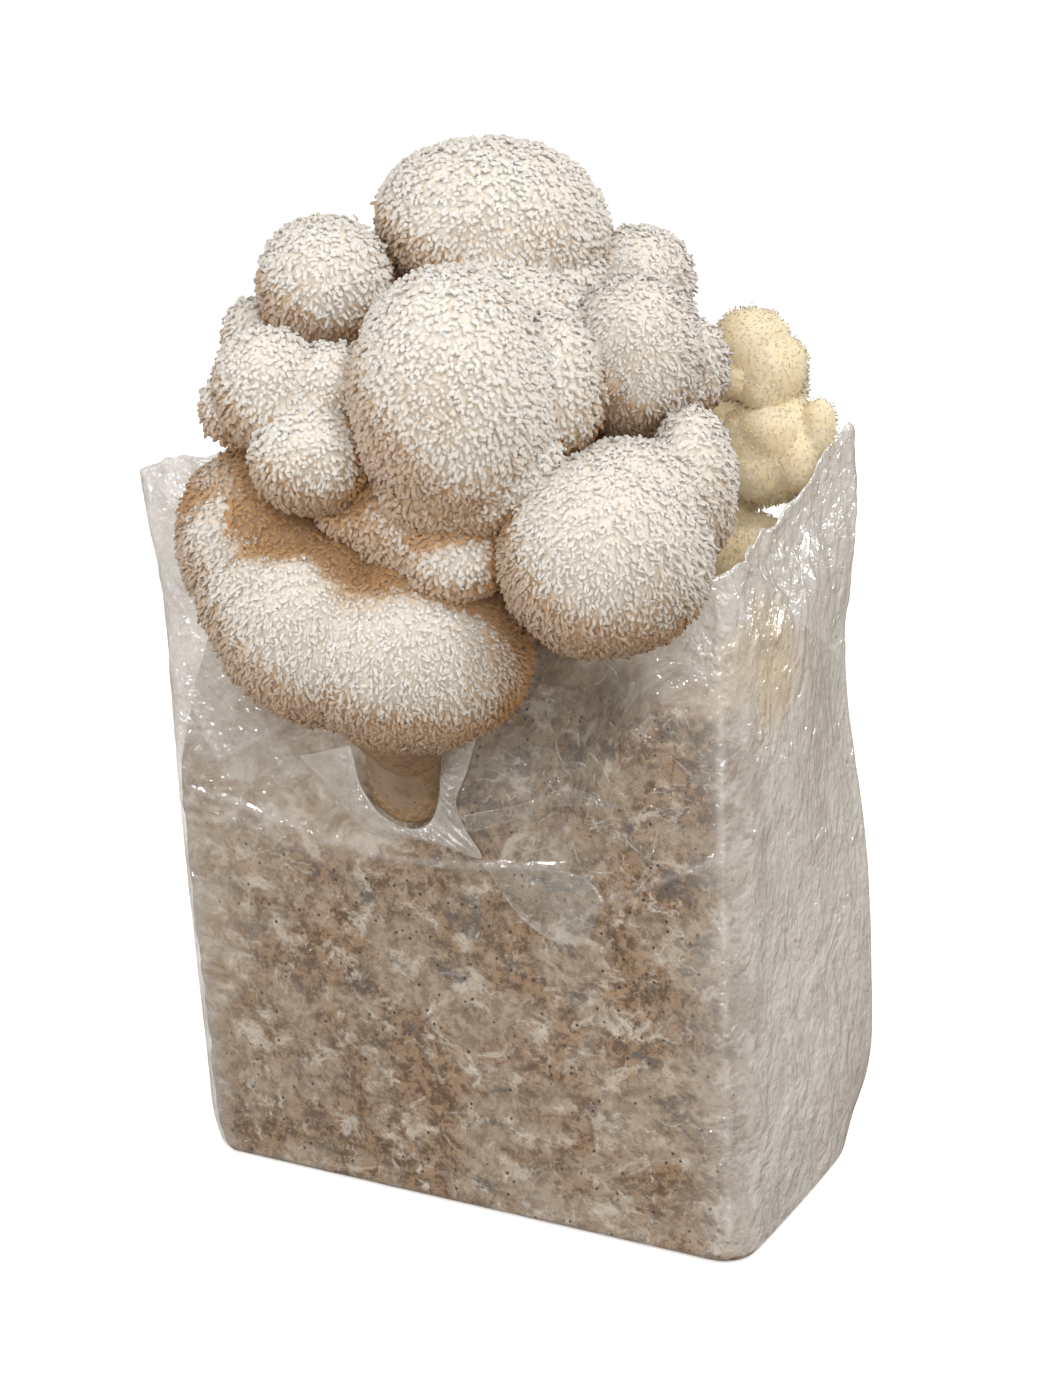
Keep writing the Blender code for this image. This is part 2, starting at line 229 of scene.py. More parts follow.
def noise(tree, place, size, detail=3.0, rough=0.55, stretch=(1, 1, 1), twist=0.0):
    """A noise value from 0 to 1 with lumps of the given size, stretched along the axes."""
    mapped = add_node(tree, "ShaderNodeMapping", Vector=place, Scale=[1 / share for share in stretch])
    return add_node(tree, "ShaderNodeTexNoise", Vector=mapped.outputs[0], Scale=0.5 / size,
                    Detail=detail, Roughness=rough, Distortion=twist).outputs[0]


def ramp(tree, value, low, high, start=0.0, end=1.0):
    """The value carried smoothly from low..high to start..end, and held outside them."""
    settings = {"interpolation_type": "SMOOTHSTEP"}
    node = add_node(tree, "ShaderNodeMapRange", settings, Value=value, From_Min=low, From_Max=high)
    node.inputs["To Min"].default_value = start
    node.inputs["To Max"].default_value = end
    return node.outputs[0]


def mix(tree, share, first, second):
    """Two colours mixed by a share."""
    return add_node(tree, "ShaderNodeMix", {"data_type": "RGBA"}, _0=share, _6=first, _7=second).outputs[2]


def maths(tree, how, first, second=0.0):
    """Two values put together by one step of arithmetic."""
    return add_node(tree, "ShaderNodeMath", {"operation": how}, _0=first, _1=second).outputs[0]


def times(tree, first, second):
    """Two values multiplied."""
    return maths(tree, "MULTIPLY", first, second)


def attribute(tree, name):
    """A value stored on the mesh's points."""
    return add_node(tree, "ShaderNodeAttribute", {"attribute_name": name}).outputs["Fac"]


def store(thing, name, values):
    """Stores one value for each point of a mesh."""
    layer = thing.data.attributes.new(name, "FLOAT", "POINT")
    layer.data.foreach_set("value", np.ascontiguousarray(values, np.float32).ravel())


def new_group(name, inputs, outputs):
    """An empty node group with its named sockets: the group, what it is given and what it
    puts out."""
    group = bpy.data.node_groups.new(name, "ShaderNodeTree")
    for way, sockets in (("INPUT", inputs), ("OUTPUT", outputs)):
        for label, kind in sockets.items():
            group.interface.new_socket(label, in_out=way, socket_type="NodeSocket" + kind)
    return group, group.nodes.new("NodeGroupInput").outputs, group.nodes.new("NodeGroupOutput").inputs


def make_specks():
    """Round grains, one in each Voronoi cell: Speck is 1 up to Core and 0 from Edge, as
    distances from the middle, and each of the two chances is one random value a grain."""
    group, given, out = new_group(
        "specks", {"Place": "Vector", "Scale": "Float", "Core": "Float", "Edge": "Float"},
        {"Speck": "Float", "First Chance": "Float", "Second Chance": "Float"})
    cells = add_node(group, "ShaderNodeTexVoronoi", Vector=given["Place"], Scale=given["Scale"])
    speck = ramp(group, cells.outputs["Distance"], given["Core"], given["Edge"], 1.0, 0.0)
    chances = add_node(group, "ShaderNodeSeparateColor", Color=cells.outputs["Color"])
    group.links.new(speck, out["Speck"])
    group.links.new(chances.outputs[0], out["First Chance"])
    group.links.new(chances.outputs[1], out["Second Chance"])
    return group


specks = make_specks()

# Colours of the crumbs, loose and bound, of the felt of mycelium, and of what lies among them
CRUMB_DARK, CRUMB_TAN = (0.135, 0.078, 0.039, 1), (0.385, 0.262, 0.155, 1)
BOUND_DARK, BOUND_TAN = (0.32, 0.245, 0.172, 1), (0.48, 0.40, 0.315, 1)
FELT_TAN, FELT_PALE = (0.42, 0.32, 0.225, 1), (0.74, 0.69, 0.62, 1)
WISP, THREAD = (0.68, 0.625, 0.55, 1), (0.74, 0.70, 0.64, 1)
CHIP, PIT, DAMP = (0.34, 0.165, 0.060, 1), (0.05, 0.033, 0.022, 1), (0.110, 0.093, 0.084, 1)
CREAM_GROWTH = (0.80, 0.60, 0.32, 1)


def make_sawdust():
    """Sawdust and grain under mycelium: tan crumbs, pale clouds, dark damp pits and specks."""
    material, tree, shader, place = new_material("colonised_sawdust")
    zones = times(tree, noise(tree, place, 0.0240, 2.0, 0.5), 0.35)
    clouds = noise(tree, place, 0.0100, 8.0, 0.66, (1.15, 1.15, 0.95), 0.4)
    clouds = maths(tree, "ADD", clouds, maths(tree, "SUBTRACT", zones, 0.175))
    crumbs = noise(tree, place, 0.0018, 5.0, 0.75, twist=0.15)
    wisps = noise(tree, place, 0.0050, 8.0, 0.68, (1.2, 1.2, 0.9), 0.6)
    damp = noise(tree, place, 0.0062, 6.0, 0.72, (1.3, 1.3, 0.8), 0.2)
    threads = maths(tree, "SUBTRACT", noise(tree, place, 0.0070, 3.0, 0.55), 0.5)
    threads = ramp(tree, maths(tree, "ABSOLUTE", threads), 0.0, 0.024, 0.62, 0.0)
    threads = times(tree, threads, ramp(tree, wisps, 0.42, 0.60))
    grains = add_node(tree, "ShaderNodeGroup", {"node_tree": specks},
                      Place=place, Scale=400.0, Core=0.16, Edge=0.30).outputs
    chips = times(tree, grains["Speck"], ramp(tree, grains["Second Chance"], 0.64, 0.68))
    pits = times(tree, grains["Speck"], ramp(tree, grains["First Chance"], 0.81, 0.83))
    wet = maths(tree, "ADD", damp, times(tree, attribute(tree, "damp"), 0.10))
    cream = times(tree, attribute(tree, "cream"), ramp(tree, wisps, 0.35, 0.60, 0.45, 1.0))
    bound = mix(tree, ramp(tree, crumbs, 0.38, 0.60), BOUND_DARK, BOUND_TAN)
    felt = mix(tree, ramp(tree, wisps, 0.38, 0.60), FELT_TAN, FELT_PALE)
    colour = mix(tree, ramp(tree, crumbs, 0.42, 0.58), CRUMB_DARK, CRUMB_TAN)
    for share, layer in ((chips, CHIP),
                         (ramp(tree, clouds, 0.42, 0.60, 0.0, 0.85), bound),
                         (ramp(tree, wisps, 0.52, 0.65, 0.0, 0.78), WISP),
                         (threads, THREAD),
                         (ramp(tree, wet, 0.56, 0.67, 0.0, 0.80), DAMP),
                         (pits, PIT),
                         (attribute(tree, "crust"), felt),
                         (cream, CREAM_GROWTH)):
        colour = mix(tree, share, colour, layer)
    tree.links.new(colour, shader.inputs["Base Color"])
    shader.inputs["Roughness"].default_value = 0.72
    shader.inputs["Specular IOR Level"].default_value = 0.35
    height = maths(tree, "ADD", crumbs, times(tree, noise(tree, place, 0.0011, 3.0, 0.6), 0.4))
    bump = add_node(tree, "ShaderNodeBump", Height=height, Strength=0.6, Distance=0.0012)
    tree.links.new(bump.outputs[0], shader.inputs["Normal"])
    return material


def corners_of(thing):
    """The points of a mesh as an array."""
    points = np.empty(len(thing.data.vertices) * 3, np.float32)
    thing.data.vertices.foreach_get("co", points)
    return points.reshape(-1, 3).astype(float)


block = make_block_mesh()
block.data.materials.append(make_sawdust())
block_points = corners_of(block)
over_line = block_points[:, 2] - np.interp(block_points[:, 0], *np.array(SHOULDER_LINE).T) + 0.012
at_front = smooth(-0.030, -0.050, block_points[:, 1])
at_left = smooth(0.000, -0.045, block_points[:, 0])
crust = np.maximum(smooth(0.0, 0.016, over_line) * at_front * at_left,
                   smooth(0.176, 0.186, block_points[:, 2]))
corner = 0.75 * smooth(-0.070, -0.098, block_points[:, 0]) + 0.40 * smooth(0.095, 0.101, block_points[:, 0])
crust = np.maximum(crust, corner * smooth(0.020, 0.060, block_points[:, 2]))
patches = 0.75 + 0.35 * ripple(block_points, 0.012, 6)
store(block, "crust", np.clip(crust * patches, 0, 1))
# Dark damp places on the front: middle (x, z) and radius in metres
DAMP_PLACES = ((0.030, 0.162, 0.014), (0.093, 0.161, 0.012), (0.066, 0.131, 0.010), (0.077, 0.123, 0.010),
               (0.083, 0.084, 0.009), (0.080, 0.052, 0.010), (0.004, 0.106, 0.010))
damp = np.zeros(len(block_points))
for across, height, radius in DAMP_PLACES:
    away = np.linalg.norm(block_points[:, [0, 2]] - (across, height), axis=1) / radius
    damp = np.maximum(damp, at_front * np.exp(-away ** 2))
store(block, "damp", damp)
# Where cream growth reaches the end: middle and half sizes in metres
CREAM_PLACE, CREAM_HALF = (0.100, -0.030, 0.180), (0.012, 0.020, 0.015)
from_cream = np.linalg.norm((block_points - CREAM_PLACE) / CREAM_HALF, axis=1)
store(block, "cream", smooth(1.3, 0.5, from_cream + 0.25 * ripple(block_points, 0.009, 7)))
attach(block, "root")
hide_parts("substrate_block")


# Main cluster
# The large fruiting body: rounded lobes of firm cream flesh, grown together on one stem that
# comes out of the block through the hole, and covered with soft white spines 1.5 to 3.5 mm long.

HOLE_CENTRE = (-0.013, -0.061, 0.150)
HOLE_HALF = (0.0150, 0.0172)
CLUSTER_TURN = 29.0

# Lobes in the cluster's frame, which stands at the hole: centre and half sizes in millimetres
# (across, deep, high), and the tilt in degrees
CENTRE_LOBES = {
    "centre": ((23, -58, 128), (29, 31, 37), 0),
    "centre_right": ((50.5, -46, 128), (15, 18, 21.5), 0),
    "centre_chin": ((26, -60, 108), (27, 19, 19), -8),
    "between": ((22, -56, 85), (17, 16, 16), 0),
    "heart": ((20, -44, 96), (34, 22, 26), 0),
}
CROWN_LOBES = {
    "crown": ((35.7, 6, 169), (35.2, 31, 26), 8),
    "crown_right": ((50, 3, 151), (20, 22, 18), 0),
    "heart_top": ((34, -18, 132), (34, 30, 30), 0),
}
LEFT_LOBES = {
    "upper_left": ((-14.0, -8, 155.4), (20.2, 21, 20), 0),
    "upper_left_back": ((-36.5, 2, 139.5), (10, 12, 12), 0),
    "left": ((-29, -45, 131), (16, 17, 18), 0),
    "left_knob": ((-42, -36, 124), (8.5, 9, 10.5), 0),
    "left_chin": ((-18, -56, 113), (17, 17, 16), 0),
    "left_inner": ((-13, -47, 130), (13, 13, 14), 0),
    "between_left": ((-6, -47, 95), (12, 11, 10), 0),
}
LOWER_LOBES = {
    "lower_left": ((-37, -28, 82), (24, 26, 29), -10),
    "lower_front": ((5, -47, 53), (37, 27, 29), 10),
    "lower_middle": ((-20, -46, 61), (31, 23, 28), 40),
    "lower_bridge": ((-30, -38, 70), (25, 24, 26), 20),
}
RIGHT_LOBES = {
    "right": ((63, -69, 84), (30, 26, 29), 0),
    "right_tip": ((89, -54, 100), (13, 17, 22), 0),
    "right_brow": ((72, -63, 98), (22, 20, 18), 0),
    "upper_right": ((75, -27, 133), (20, 22, 24), 0),
    "upper_right_low": ((83, -22, 120), (12.5, 14, 11.5), 0),
    "upper_right_back": ((79, 10, 150.3), (17, 17, 17.2), 0),
    "right_edge": ((95, -10, 127), (9, 11, 14), 0),
}
BACK_LOBES = {
    "over_mouth": ((36, 2, 93), (36, 21, 28), 0),
    "over_mouth_right": ((69, -6, 98), (22, 22, 25), 0),
    "over_mouth_left": ((-2, 14, 110), (22, 19, 24), 0),
    "in_mouth": ((42, 17, 63), (30, 20, 24), 0),
    "back_left": ((-2, 16, 138), (24, 22, 24), 0),
    "back_middle": ((24, 34, 128), (25, 22, 24), 0),
    "back_right": ((58, 28, 122), (24, 23, 24), 0),
    "back_top": ((48, 32, 152), (24, 21, 22), 0),
}

# The stem, in millimetres from the hole's centre, from the flat end that fills the hole to the
# lower lobes: centre, radius and how deep it is as a share of the radius
STEM = (
    (3, 6, -1, 13.0, 0.50),
    (-0.5, 1.5, -1.6, 14.8, 0.38),
    (5, -6, 14, 12.3, 0.60),
    (16, -28, 36, 19.0, 1.0),
)
STEM_BALLS = 16

SPINE_INSET = 0.0015
FLESH_VOXEL = 0.0014
BLOCK_CLEARANCE = 0.0006
SPINES_LET_THROUGH = 0.45


def turned(axis, degrees):
    """The matrix that turns points about Y or Z."""
    return np.array(Matrix.Rotation(np.radians(degrees), 3, axis))


def placed(lobes, turn, origin):
    return {name: (np.array(origin) + turn @ (np.array(centre) / 1000),
                   turn @ turned("Y", tilt), np.array(half) / 1000)
            for name, (centre, half, tilt) in lobes.items()}


def depth_in(points, lobe, inset=0.0):
    """A point's distance from a lobe's centre as a share of the lobe's radius that way:
    under 1 inside the lobe, shrunk by the inset."""
    centre, axes, half = lobe
    return np.linalg.norm((points - centre) @ axes / (half - inset), axis=-1)


def tops_and_undersides(normals):
    """How far a surface faces up, and how far it faces down, each 0 to 1."""
    return smooth(0.0, 0.7, normals[:, 2]), smooth(-0.30, -0.80, normals[:, 2])


def relief(points, normals):
    """How far the flesh is raised, in metres: natural unevenness, and more flesh where the
    spines lie flat on top or are short underneath."""
    above, below = tops_and_undersides(normals)
    uneven = 0.0006 * ripple(points, 0.016, 11) + 0.0003 * ripple(points, 0.007, 12)
    return 0.0010 * above + 0.0004 * below - uneven


def reached(points, normals, lobes, rays):
    """The share of rays that leave on the outer side of each point and meet no lobe. A ray
    meets an ellipsoid where the quadratic of its path, in the lobe's own unit axes, has a
    root ahead."""
    total = np.zeros(len(points))
    for ray in np.array(rays) / np.linalg.norm(rays, axis=1, keepdims=True):
        start = points + normals * 0.003 + ray * 0.002
        clear = smooth(-0.20, 0.25, normals @ ray)
        for centre, axes, half in lobes.values():
            near = (start - centre) @ axes / half
            way = ray @ axes / half
            square, middle, rest = way @ way, near @ way, np.sum(near * near, axis=1) - 1
            clear = np.where((middle * middle > square * rest) & ((middle < 0) | (rest < 0)), 0, clear)
        total += clear
    return total / len(rays)


def open_sky(points, normals, lobes):
    """How openly points among the lobes lie to the air above and in front, or for surfaces
    that face back, behind, 0 to 1, and less on tops in the shade of steep rays from the
    right. The colours use it to paint light and shade: painted shade in recesses and a
    painted shadow over the low tops."""
    front = reached(points, normals, lobes, [
        (0.45, -0.35, 0.82), (0.1, -0.5, 0.86), (-0.2, -0.1, 0.97), (0.7, -0.1, 0.7),
        (0.3, -0.8, 0.5), (-0.4, -0.6, 0.7), (0.8, -0.6, 0.3), (0.3, 0.5, 0.8)])
    back = reached(points, normals, lobes, [
        (0.0, 0.5, 0.86), (-0.5, 0.6, 0.62), (0.4, 0.8, 0.45), (-0.1, 1.0, 0.2), (0.0, 0.0, 1.0)])
    front = np.maximum(front, 0.9 * back * smooth(0.10, 0.50, normals[:, 1]))
    casting = {name: lobe for name, lobe in lobes.items() if name not in RIGHT_LOBES}
    steep = reached(points, normals, casting, [(0.60, -0.12, 0.79), (0.67, -0.17, 0.72), (0.53, -0.07, 0.85)])
    # Painted shadow: low tops that the steep rays from the right do not reach
    painted_shadow = (1 - steep) * smooth(0.268, 0.244, points[:, 2]) * smooth(0.0, 0.45, normals[:, 2])
    return front * (1 - 0.85 * painted_shadow)


def turned_away(normals):
    """How far a surface is turned away from the light above and to the right: 0 on top and
    on the right, 1 underneath and low on the left. The colours use it to paint shade."""
    return smooth(0.08, -0.34, normals @ np.array((0.60, 0.0, 0.80)))


def on_block(points):
    """Points of a fruit that would lie in the block are raised just over its top."""
    floor_height = block_height(points[:, :2]) + BLOCK_CLEARANCE
    inside = (np.abs(points[:, 0]) < BAG_WIDTH / 2) & (np.abs(points[:, 1]) < BAG_DEPTH / 2 - 0.001)
    raised = points.copy()
    raised[:, 2] = np.where(inside, np.maximum(points[:, 2], floor_height), points[:, 2])
    return raised


def grow_flesh(name, lobes, inset, voxel):
    """The flesh under the spines: each lobe is a sphere grid (angle round, angle up)
    stretched to its half sizes; a voxel remesh grows them into one skin."""
    around = np.linspace(0, 2 * np.pi, 48, endpoint=False)
    rise = np.linspace(-np.pi / 2, np.pi / 2, 26)[1:-1, None]
    ball = np.stack((np.cos(rise) * np.cos(around), np.cos(rise) * np.sin(around),
                     np.sin(rise) * np.ones_like(around)), axis=-1)
    shapes = []
    for centre, axes, half in lobes.values():
        size = half - inset
        rows = centre + (ball * size) @ axes.T
        low, high = centre - axes[:, 2] * size[2], centre + axes[:, 2] * size[2]
        shapes.append(skin(name, rows, low, high))
    with bpy.context.temp_override(active_object=shapes[0], selected_editable_objects=shapes):
        bpy.ops.object.join()
    flesh = shapes[0]
    grown = flesh.modifiers.new("grown_together", "REMESH")
    grown.mode = "VOXEL"
    grown.voxel_size = voxel
    eased = flesh.modifiers.new("eased", "SMOOTH")
    eased.iterations = 4
    ready = flesh.evaluated_get(bpy.context.evaluated_depsgraph_get())
    mesh = bpy.data.meshes.new_from_object(ready)
    flesh.modifiers.clear()
    flesh.data = mesh
    points = corners_of(flesh)
    normals = np.empty(len(points) * 3, np.float32)
    mesh.vertex_normals.foreach_get("vector", normals)
    normals = normals.reshape(-1, 3)
    points = on_block(points + normals * relief(points, normals)[:, None])
    mesh.vertices.foreach_set("co", points.astype(np.float32).ravel())
    mesh.shade_smooth()
    mesh.update()
    # Painted light and shade: pale is high where the flesh lies open to the air and faces the light, and low in
    # recesses, in painted shadow and on sides turned from the light
    away = turned_away(normals)
    lit = smooth(0.15, 0.75, open_sky(points, normals, lobes)) * (1 - 0.6 * away)
    store(flesh, "pale", np.maximum(lit, 0.30 * away))
    return flesh


def sow(lobes, chosen, inset, spacing, chance):
    """Roots of the spines on the chosen lobes, and the normals there: Fibonacci points on
    the unit sphere, stretched to the lobe and thinned to an even spacing, then kept where
    they lie outside every other lobe."""
    roots, normals = [], []
    for name in chosen:
        centre, axes, half = lobes[name]
        size = half - inset
        most = np.prod(size) / size.min()
        count = int(4 * np.pi * most / spacing ** 2)
        step = np.arange(count) + 0.5
        rise = 1 - 2 * step / count
        angle = step * np.pi * (3 - 5 ** 0.5)
        flat = np.sqrt(1 - rise ** 2)
        ball = np.stack((flat * np.cos(angle), flat * np.sin(angle), rise), axis=-1)
        normal = ball / size
        stretch = np.linalg.norm(normal, axis=1)
        kept = (step * 0.7548777) % 1 < stretch * np.prod(size) / most
        ball, normal, stretch = ball[kept], normal[kept], stretch[kept, None]
        normal = (normal / stretch) @ axes.T
        root = centre + (ball * size) @ axes.T
        root = root + spacing * 0.34 * chance.normal(size=root.shape)
        clear = np.ones(len(root), bool)
        for other, shape in lobes.items():
            if other != name:
                clear &= depth_in(root, shape, inset) > 1.0
        under = on_block(root)[:, 2] > root[:, 2] + 0.0001
        roots.append(root[clear & ~under])
        normals.append(normal[clear & ~under])
    return np.concatenate(roots), np.concatenate(normals)


def grow_spines(name, roots, normals, length, girth, leaning, combed, white, pale, chance,
                softened, sides=3, rings=((0.0, 0.80), (0.48, 1.0), (0.86, 0.78))):
    """Soft spines, each carried along root + direction * t + bend * t^2: rings of points, at
    shares of the length and of the girth, and a tip. Length, girth, leaning, white and pale
    hold a value a spine, and so may softened: the share by which shading normals are drawn
    towards the lobe's own, which eases the fur as light through the spines would."""
    count, ring_count = len(roots), len(rings)
    share, fullness = np.array(rings).T
    aside = np.cross(normals, chance.normal(size=(count, 3)) + combed)
    aside /= np.linalg.norm(aside, axis=1, keepdims=True)
    forward = np.cross(aside, normals)
    direction = normals * np.cos(leaning)[:, None] + forward * np.sin(leaning)[:, None]
    bend = (aside * chance.normal(0, 0.13, (count, 1)) + forward * chance.normal(0.1, 0.15, (count, 1))
            - normals * 0.12)
    across = np.cross(direction, aside)
    along = np.append(share, 1.0)[None, :, None]
    spine = roots[:, None] + length[:, None, None] * (direction[:, None] * along + bend[:, None] * along ** 2)
    angle = np.arange(sides) * 2 * np.pi / sides + chance.uniform(0, 2 * np.pi, (count, 1))
    circle = np.cos(angle)[:, :, None] * aside[:, None] + np.sin(angle)[:, :, None] * across[:, None]
    reach = girth[:, None, None, None] / 2 * fullness[None, :, None, None]
    around = spine[:, :-1, None] + reach * circle[:, None]
    points = np.concatenate((around.reshape(count, -1, 3), spine[:, -1:]), axis=1)
    index = np.arange(ring_count * sides).reshape(ring_count, sides)
    after = np.roll(index, -1, axis=1)
    quads = np.stack((index[:-1], after[:-1], after[1:], index[1:]), axis=-1).reshape(-1, 4)
    caps = np.stack((index[-1], after[-1], np.full(sides, ring_count * sides)), axis=-1)
    first = np.arange(count)[:, None, None] * (ring_count * sides + 1)
    mesh = bpy.data.meshes.new(name)
    mesh.from_pydata(points.reshape(-1, 3), [], (quads + first).reshape(-1, 4).tolist()
                     + (caps + first).reshape(-1, 3).tolist()
                     + (index[0, ::-1] + first[:, 0]).tolist())
    mesh.shade_smooth()
    shape = points.shape[:2]
    facing = np.empty(shape[0] * shape[1] * 3, np.float32)
    mesh.vertex_normals.foreach_get("vector", facing)
    softened = np.broadcast_to(softened, count)[:, None, None]
    eased = (1 - softened) * facing.reshape(shape + (3,)) + softened * normals[:, None]
    eased /= np.linalg.norm(eased, axis=-1, keepdims=True)
    mesh.normals_split_custom_set_from_vertices(eased.reshape(-1, 3).tolist())
    thing = bpy.data.objects.new(name, mesh)
    bpy.context.scene.collection.objects.link(thing)
    store(thing, "along", np.broadcast_to(np.append(np.repeat(share, sides), 1.0), shape))
    store(thing, "white", np.broadcast_to(white[:, None], shape))
    store(thing, "pale", np.broadcast_to(pale[:, None], shape))
    return thing


def let_through(tree, share):
    """The alpha of flesh that shades only a part: 1 to the eye, less a share to the light."""
    shading = tree.nodes.new("ShaderNodeLightPath").outputs["Is Shadow Ray"]
    return maths(tree, "SUBTRACT", 1.0, times(tree, shading, share))


def make_spine_skin(name, root_shade_colour, recess_shade_colour, tan_colour, pale_colour, tip_colour):
    """A spine's skin, coloured by its pale and white values; where these follow the light, as
    on the main cluster, they paint light and shade: orange tan in recesses and cast shadow,
    tan on sides turned from the light, pale in the open, a darker, warmer root among the
    spines, and a white tip that is whitest where light falls."""
    material, tree, shader, _ = new_material(name)
    along = attribute(tree, "along")
    pale = attribute(tree, "pale")
    # Painted light and shade, by pale: orange tan in recesses and cast shadow, tan on sides turned from the
    # light, pale in the open; the root darker still, painted shade among the spines
    flesh = mix(tree, ramp(tree, pale, 0.0, 0.4), recess_shade_colour, tan_colour)
    flesh = mix(tree, ramp(tree, pale, 0.3, 1.0), flesh, pale_colour)
    root_shaded = mix(tree, ramp(tree, pale, 0.4, 1.0, 0.2, 0.7), root_shade_colour, flesh)
    colour = mix(tree, ramp(tree, along, 0.0, 0.5), root_shaded, flesh)
    tipped = times(tree, ramp(tree, along, 0.30, 0.88), attribute(tree, "white"))
    tree.links.new(mix(tree, tipped, colour, tip_colour), shader.inputs["Base Color"])
    tree.links.new(let_through(tree, SPINES_LET_THROUGH), shader.inputs["Alpha"])
    shader.inputs["Roughness"].default_value = 0.5
    shader.inputs["Specular IOR Level"].default_value = 0.4
    return material


def make_flesh_grain():
    """The grain of bare flesh: two noises, broad clouds and a fine grain, and the grain's bump."""
    group, given, out = new_group(
        "flesh_grain", {"Place": "Vector", "Cloud Scale": "Float", "Grain Scale": "Float", "Strength": "Float"},
        {"Clouds": "Float", "Grain": "Float", "Normal": "Vector"})
    clouds, grain = (
        add_node(group, "ShaderNodeTexNoise", Vector=given["Place"], Scale=given[scale], Detail=detail,
                 Roughness=0.6).outputs[0]
        for scale, detail in (("Cloud Scale", 4.0), ("Grain Scale", 3.0)))
    bump = add_node(group, "ShaderNodeBump", Height=grain, Strength=given["Strength"], Distance=0.0006)
    group.links.new(clouds, out["Clouds"])
    group.links.new(grain, out["Grain"])
    group.links.new(bump.outputs[0], out["Normal"])
    return group


flesh_grain = make_flesh_grain()

# Colours of the flesh, from painted shade in the recesses to painted light in the open, and
# of the bare stem and its cut rim
FLESH_SHADE_DARK, FLESH_SHADE_TAN = (0.46, 0.28, 0.15, 1), (0.55, 0.36, 0.21, 1)
FLESH_TAN, FLESH_PALE = (0.80, 0.62, 0.43, 1), (0.88, 0.82, 0.74, 1)
STEM_DARK, STEM_TAN = (0.25, 0.17, 0.105, 1), (0.36, 0.27, 0.19, 1)
RIM_DARK, RIM_TAN = (0.27, 0.16, 0.078, 1), (0.50, 0.35, 0.205, 1)
STEM_SPECK = (0.10, 0.055, 0.028, 1)


def make_flesh_skin():
    """Flesh between the spines, cream as painted light where pale is high and tan to dark as
    painted shade in recesses, cast shadow and on sides turned from the light; on the stem
    bare and tan with fine specks.
    """
    material, tree, shader, place = new_material("white_flesh")
    grown = add_node(tree, "ShaderNodeGroup", {"node_tree": flesh_grain}, Place=place,
                     Cloud_Scale=0.5 / 0.006, Grain_Scale=0.5 / 0.0009, Strength=0.5).outputs
    clouded = ramp(tree, grown["Clouds"], 0.35, 0.65)
    pale = attribute(tree, "pale")
    # Painted light and shade, by pale: dark to tan in recesses, cast shadow and on sides turned from the light,
    # cream in the open
    colour = mix(tree, clouded, FLESH_SHADE_DARK, FLESH_SHADE_TAN)
    colour = mix(tree, ramp(tree, pale, 0.0, 0.6), colour, FLESH_TAN)
    colour = mix(tree, ramp(tree, pale, 0.5, 1.0), colour, FLESH_PALE)
    grains = add_node(tree, "ShaderNodeGroup", {"node_tree": specks},
                      Place=place, Scale=700.0, Core=0.15, Edge=0.35).outputs
    speckled = times(tree, grains["Speck"], ramp(tree, grains["First Chance"], 0.86, 0.90))
    at_rim = times(tree, attribute(tree, "rim"), ramp(tree, grown["Clouds"], 0.38, 0.55, 0.3, 0.9))
    crumbly = mix(tree, ramp(tree, grown["Grain"], 0.35, 0.65), RIM_DARK, RIM_TAN)
    bare = mix(tree, at_rim, mix(tree, clouded, STEM_DARK, STEM_TAN), crumbly)
    bare = mix(tree, speckled, bare, STEM_SPECK)
    colour = mix(tree, attribute(tree, "stem"), colour, bare)
    tree.links.new(colour, shader.inputs["Base Color"])
    shader.inputs["Roughness"].default_value = 0.6
    tree.links.new(grown["Normal"], shader.inputs["Normal"])
    return material


at_hole = turned("Z", CLUSTER_TURN)
main_lobes = placed({**CENTRE_LOBES, **CROWN_LOBES, **LEFT_LOBES, **LOWER_LOBES, **RIGHT_LOBES, **BACK_LOBES},
                    at_hole, HOLE_CENTRE)
stem_at = np.linspace(0, len(STEM) - 1, STEM_BALLS)
stem_path = np.array([np.interp(stem_at, np.arange(len(STEM)), column) for column in np.array(STEM).T]).T
stem_balls = {f"stem_{index}": ((x, y, z), (radius, radius * depth, radius), 0)
              for index, (x, y, z, radius, depth) in enumerate(stem_path)}
stem_lobes = placed(stem_balls, np.identity(3), HOLE_CENTRE)
all_lobes = {**main_lobes, **stem_lobes}

under_spines = {name: (centre, axes, half - SPINE_INSET) for name, (centre, axes, half) in main_lobes.items()}
main_flesh = grow_flesh("main_flesh", {**under_spines, **stem_lobes}, 0.0, FLESH_VOXEL)
main_flesh.data.materials.append(make_flesh_skin())
flesh_points = corners_of(main_flesh)
bare = np.zeros(len(flesh_points))
for name, lobe in stem_lobes.items():
    bare = np.maximum(bare, smooth(1.25, 1.05, depth_in(flesh_points, lobe)))
store(main_flesh, "stem", bare * smooth(0.205, 0.180, flesh_points[:, 2]))
from_hole = (flesh_points - HOLE_CENTRE)[:, [0, 2]] / HOLE_HALF
store(main_flesh, "rim", smooth(0.60, 0.86, np.linalg.norm(from_hole, axis=1) - 0.15 * from_hole[:, 1]))
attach(main_flesh, "root")
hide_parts("main_cluster")

# Colours of the spines: at the root, painted shade among them; in the recesses and the
# cast shadow, painted shade; on the sides turned from the light, painted shade; in the
# open, painted light; and at the tip, white
WHITE_SPINE_COLOURS = ((0.64, 0.47, 0.31, 1), (0.58, 0.34, 0.16, 1), (0.61, 0.48, 0.36, 1),
                       (0.84, 0.795, 0.735, 1), (0.92, 0.915, 0.90, 1))
white_spines = make_spine_skin("white_spines", *WHITE_SPINE_COLOURS)
COMBED_DOWN = np.array((0.0, 0.0, -1.3))
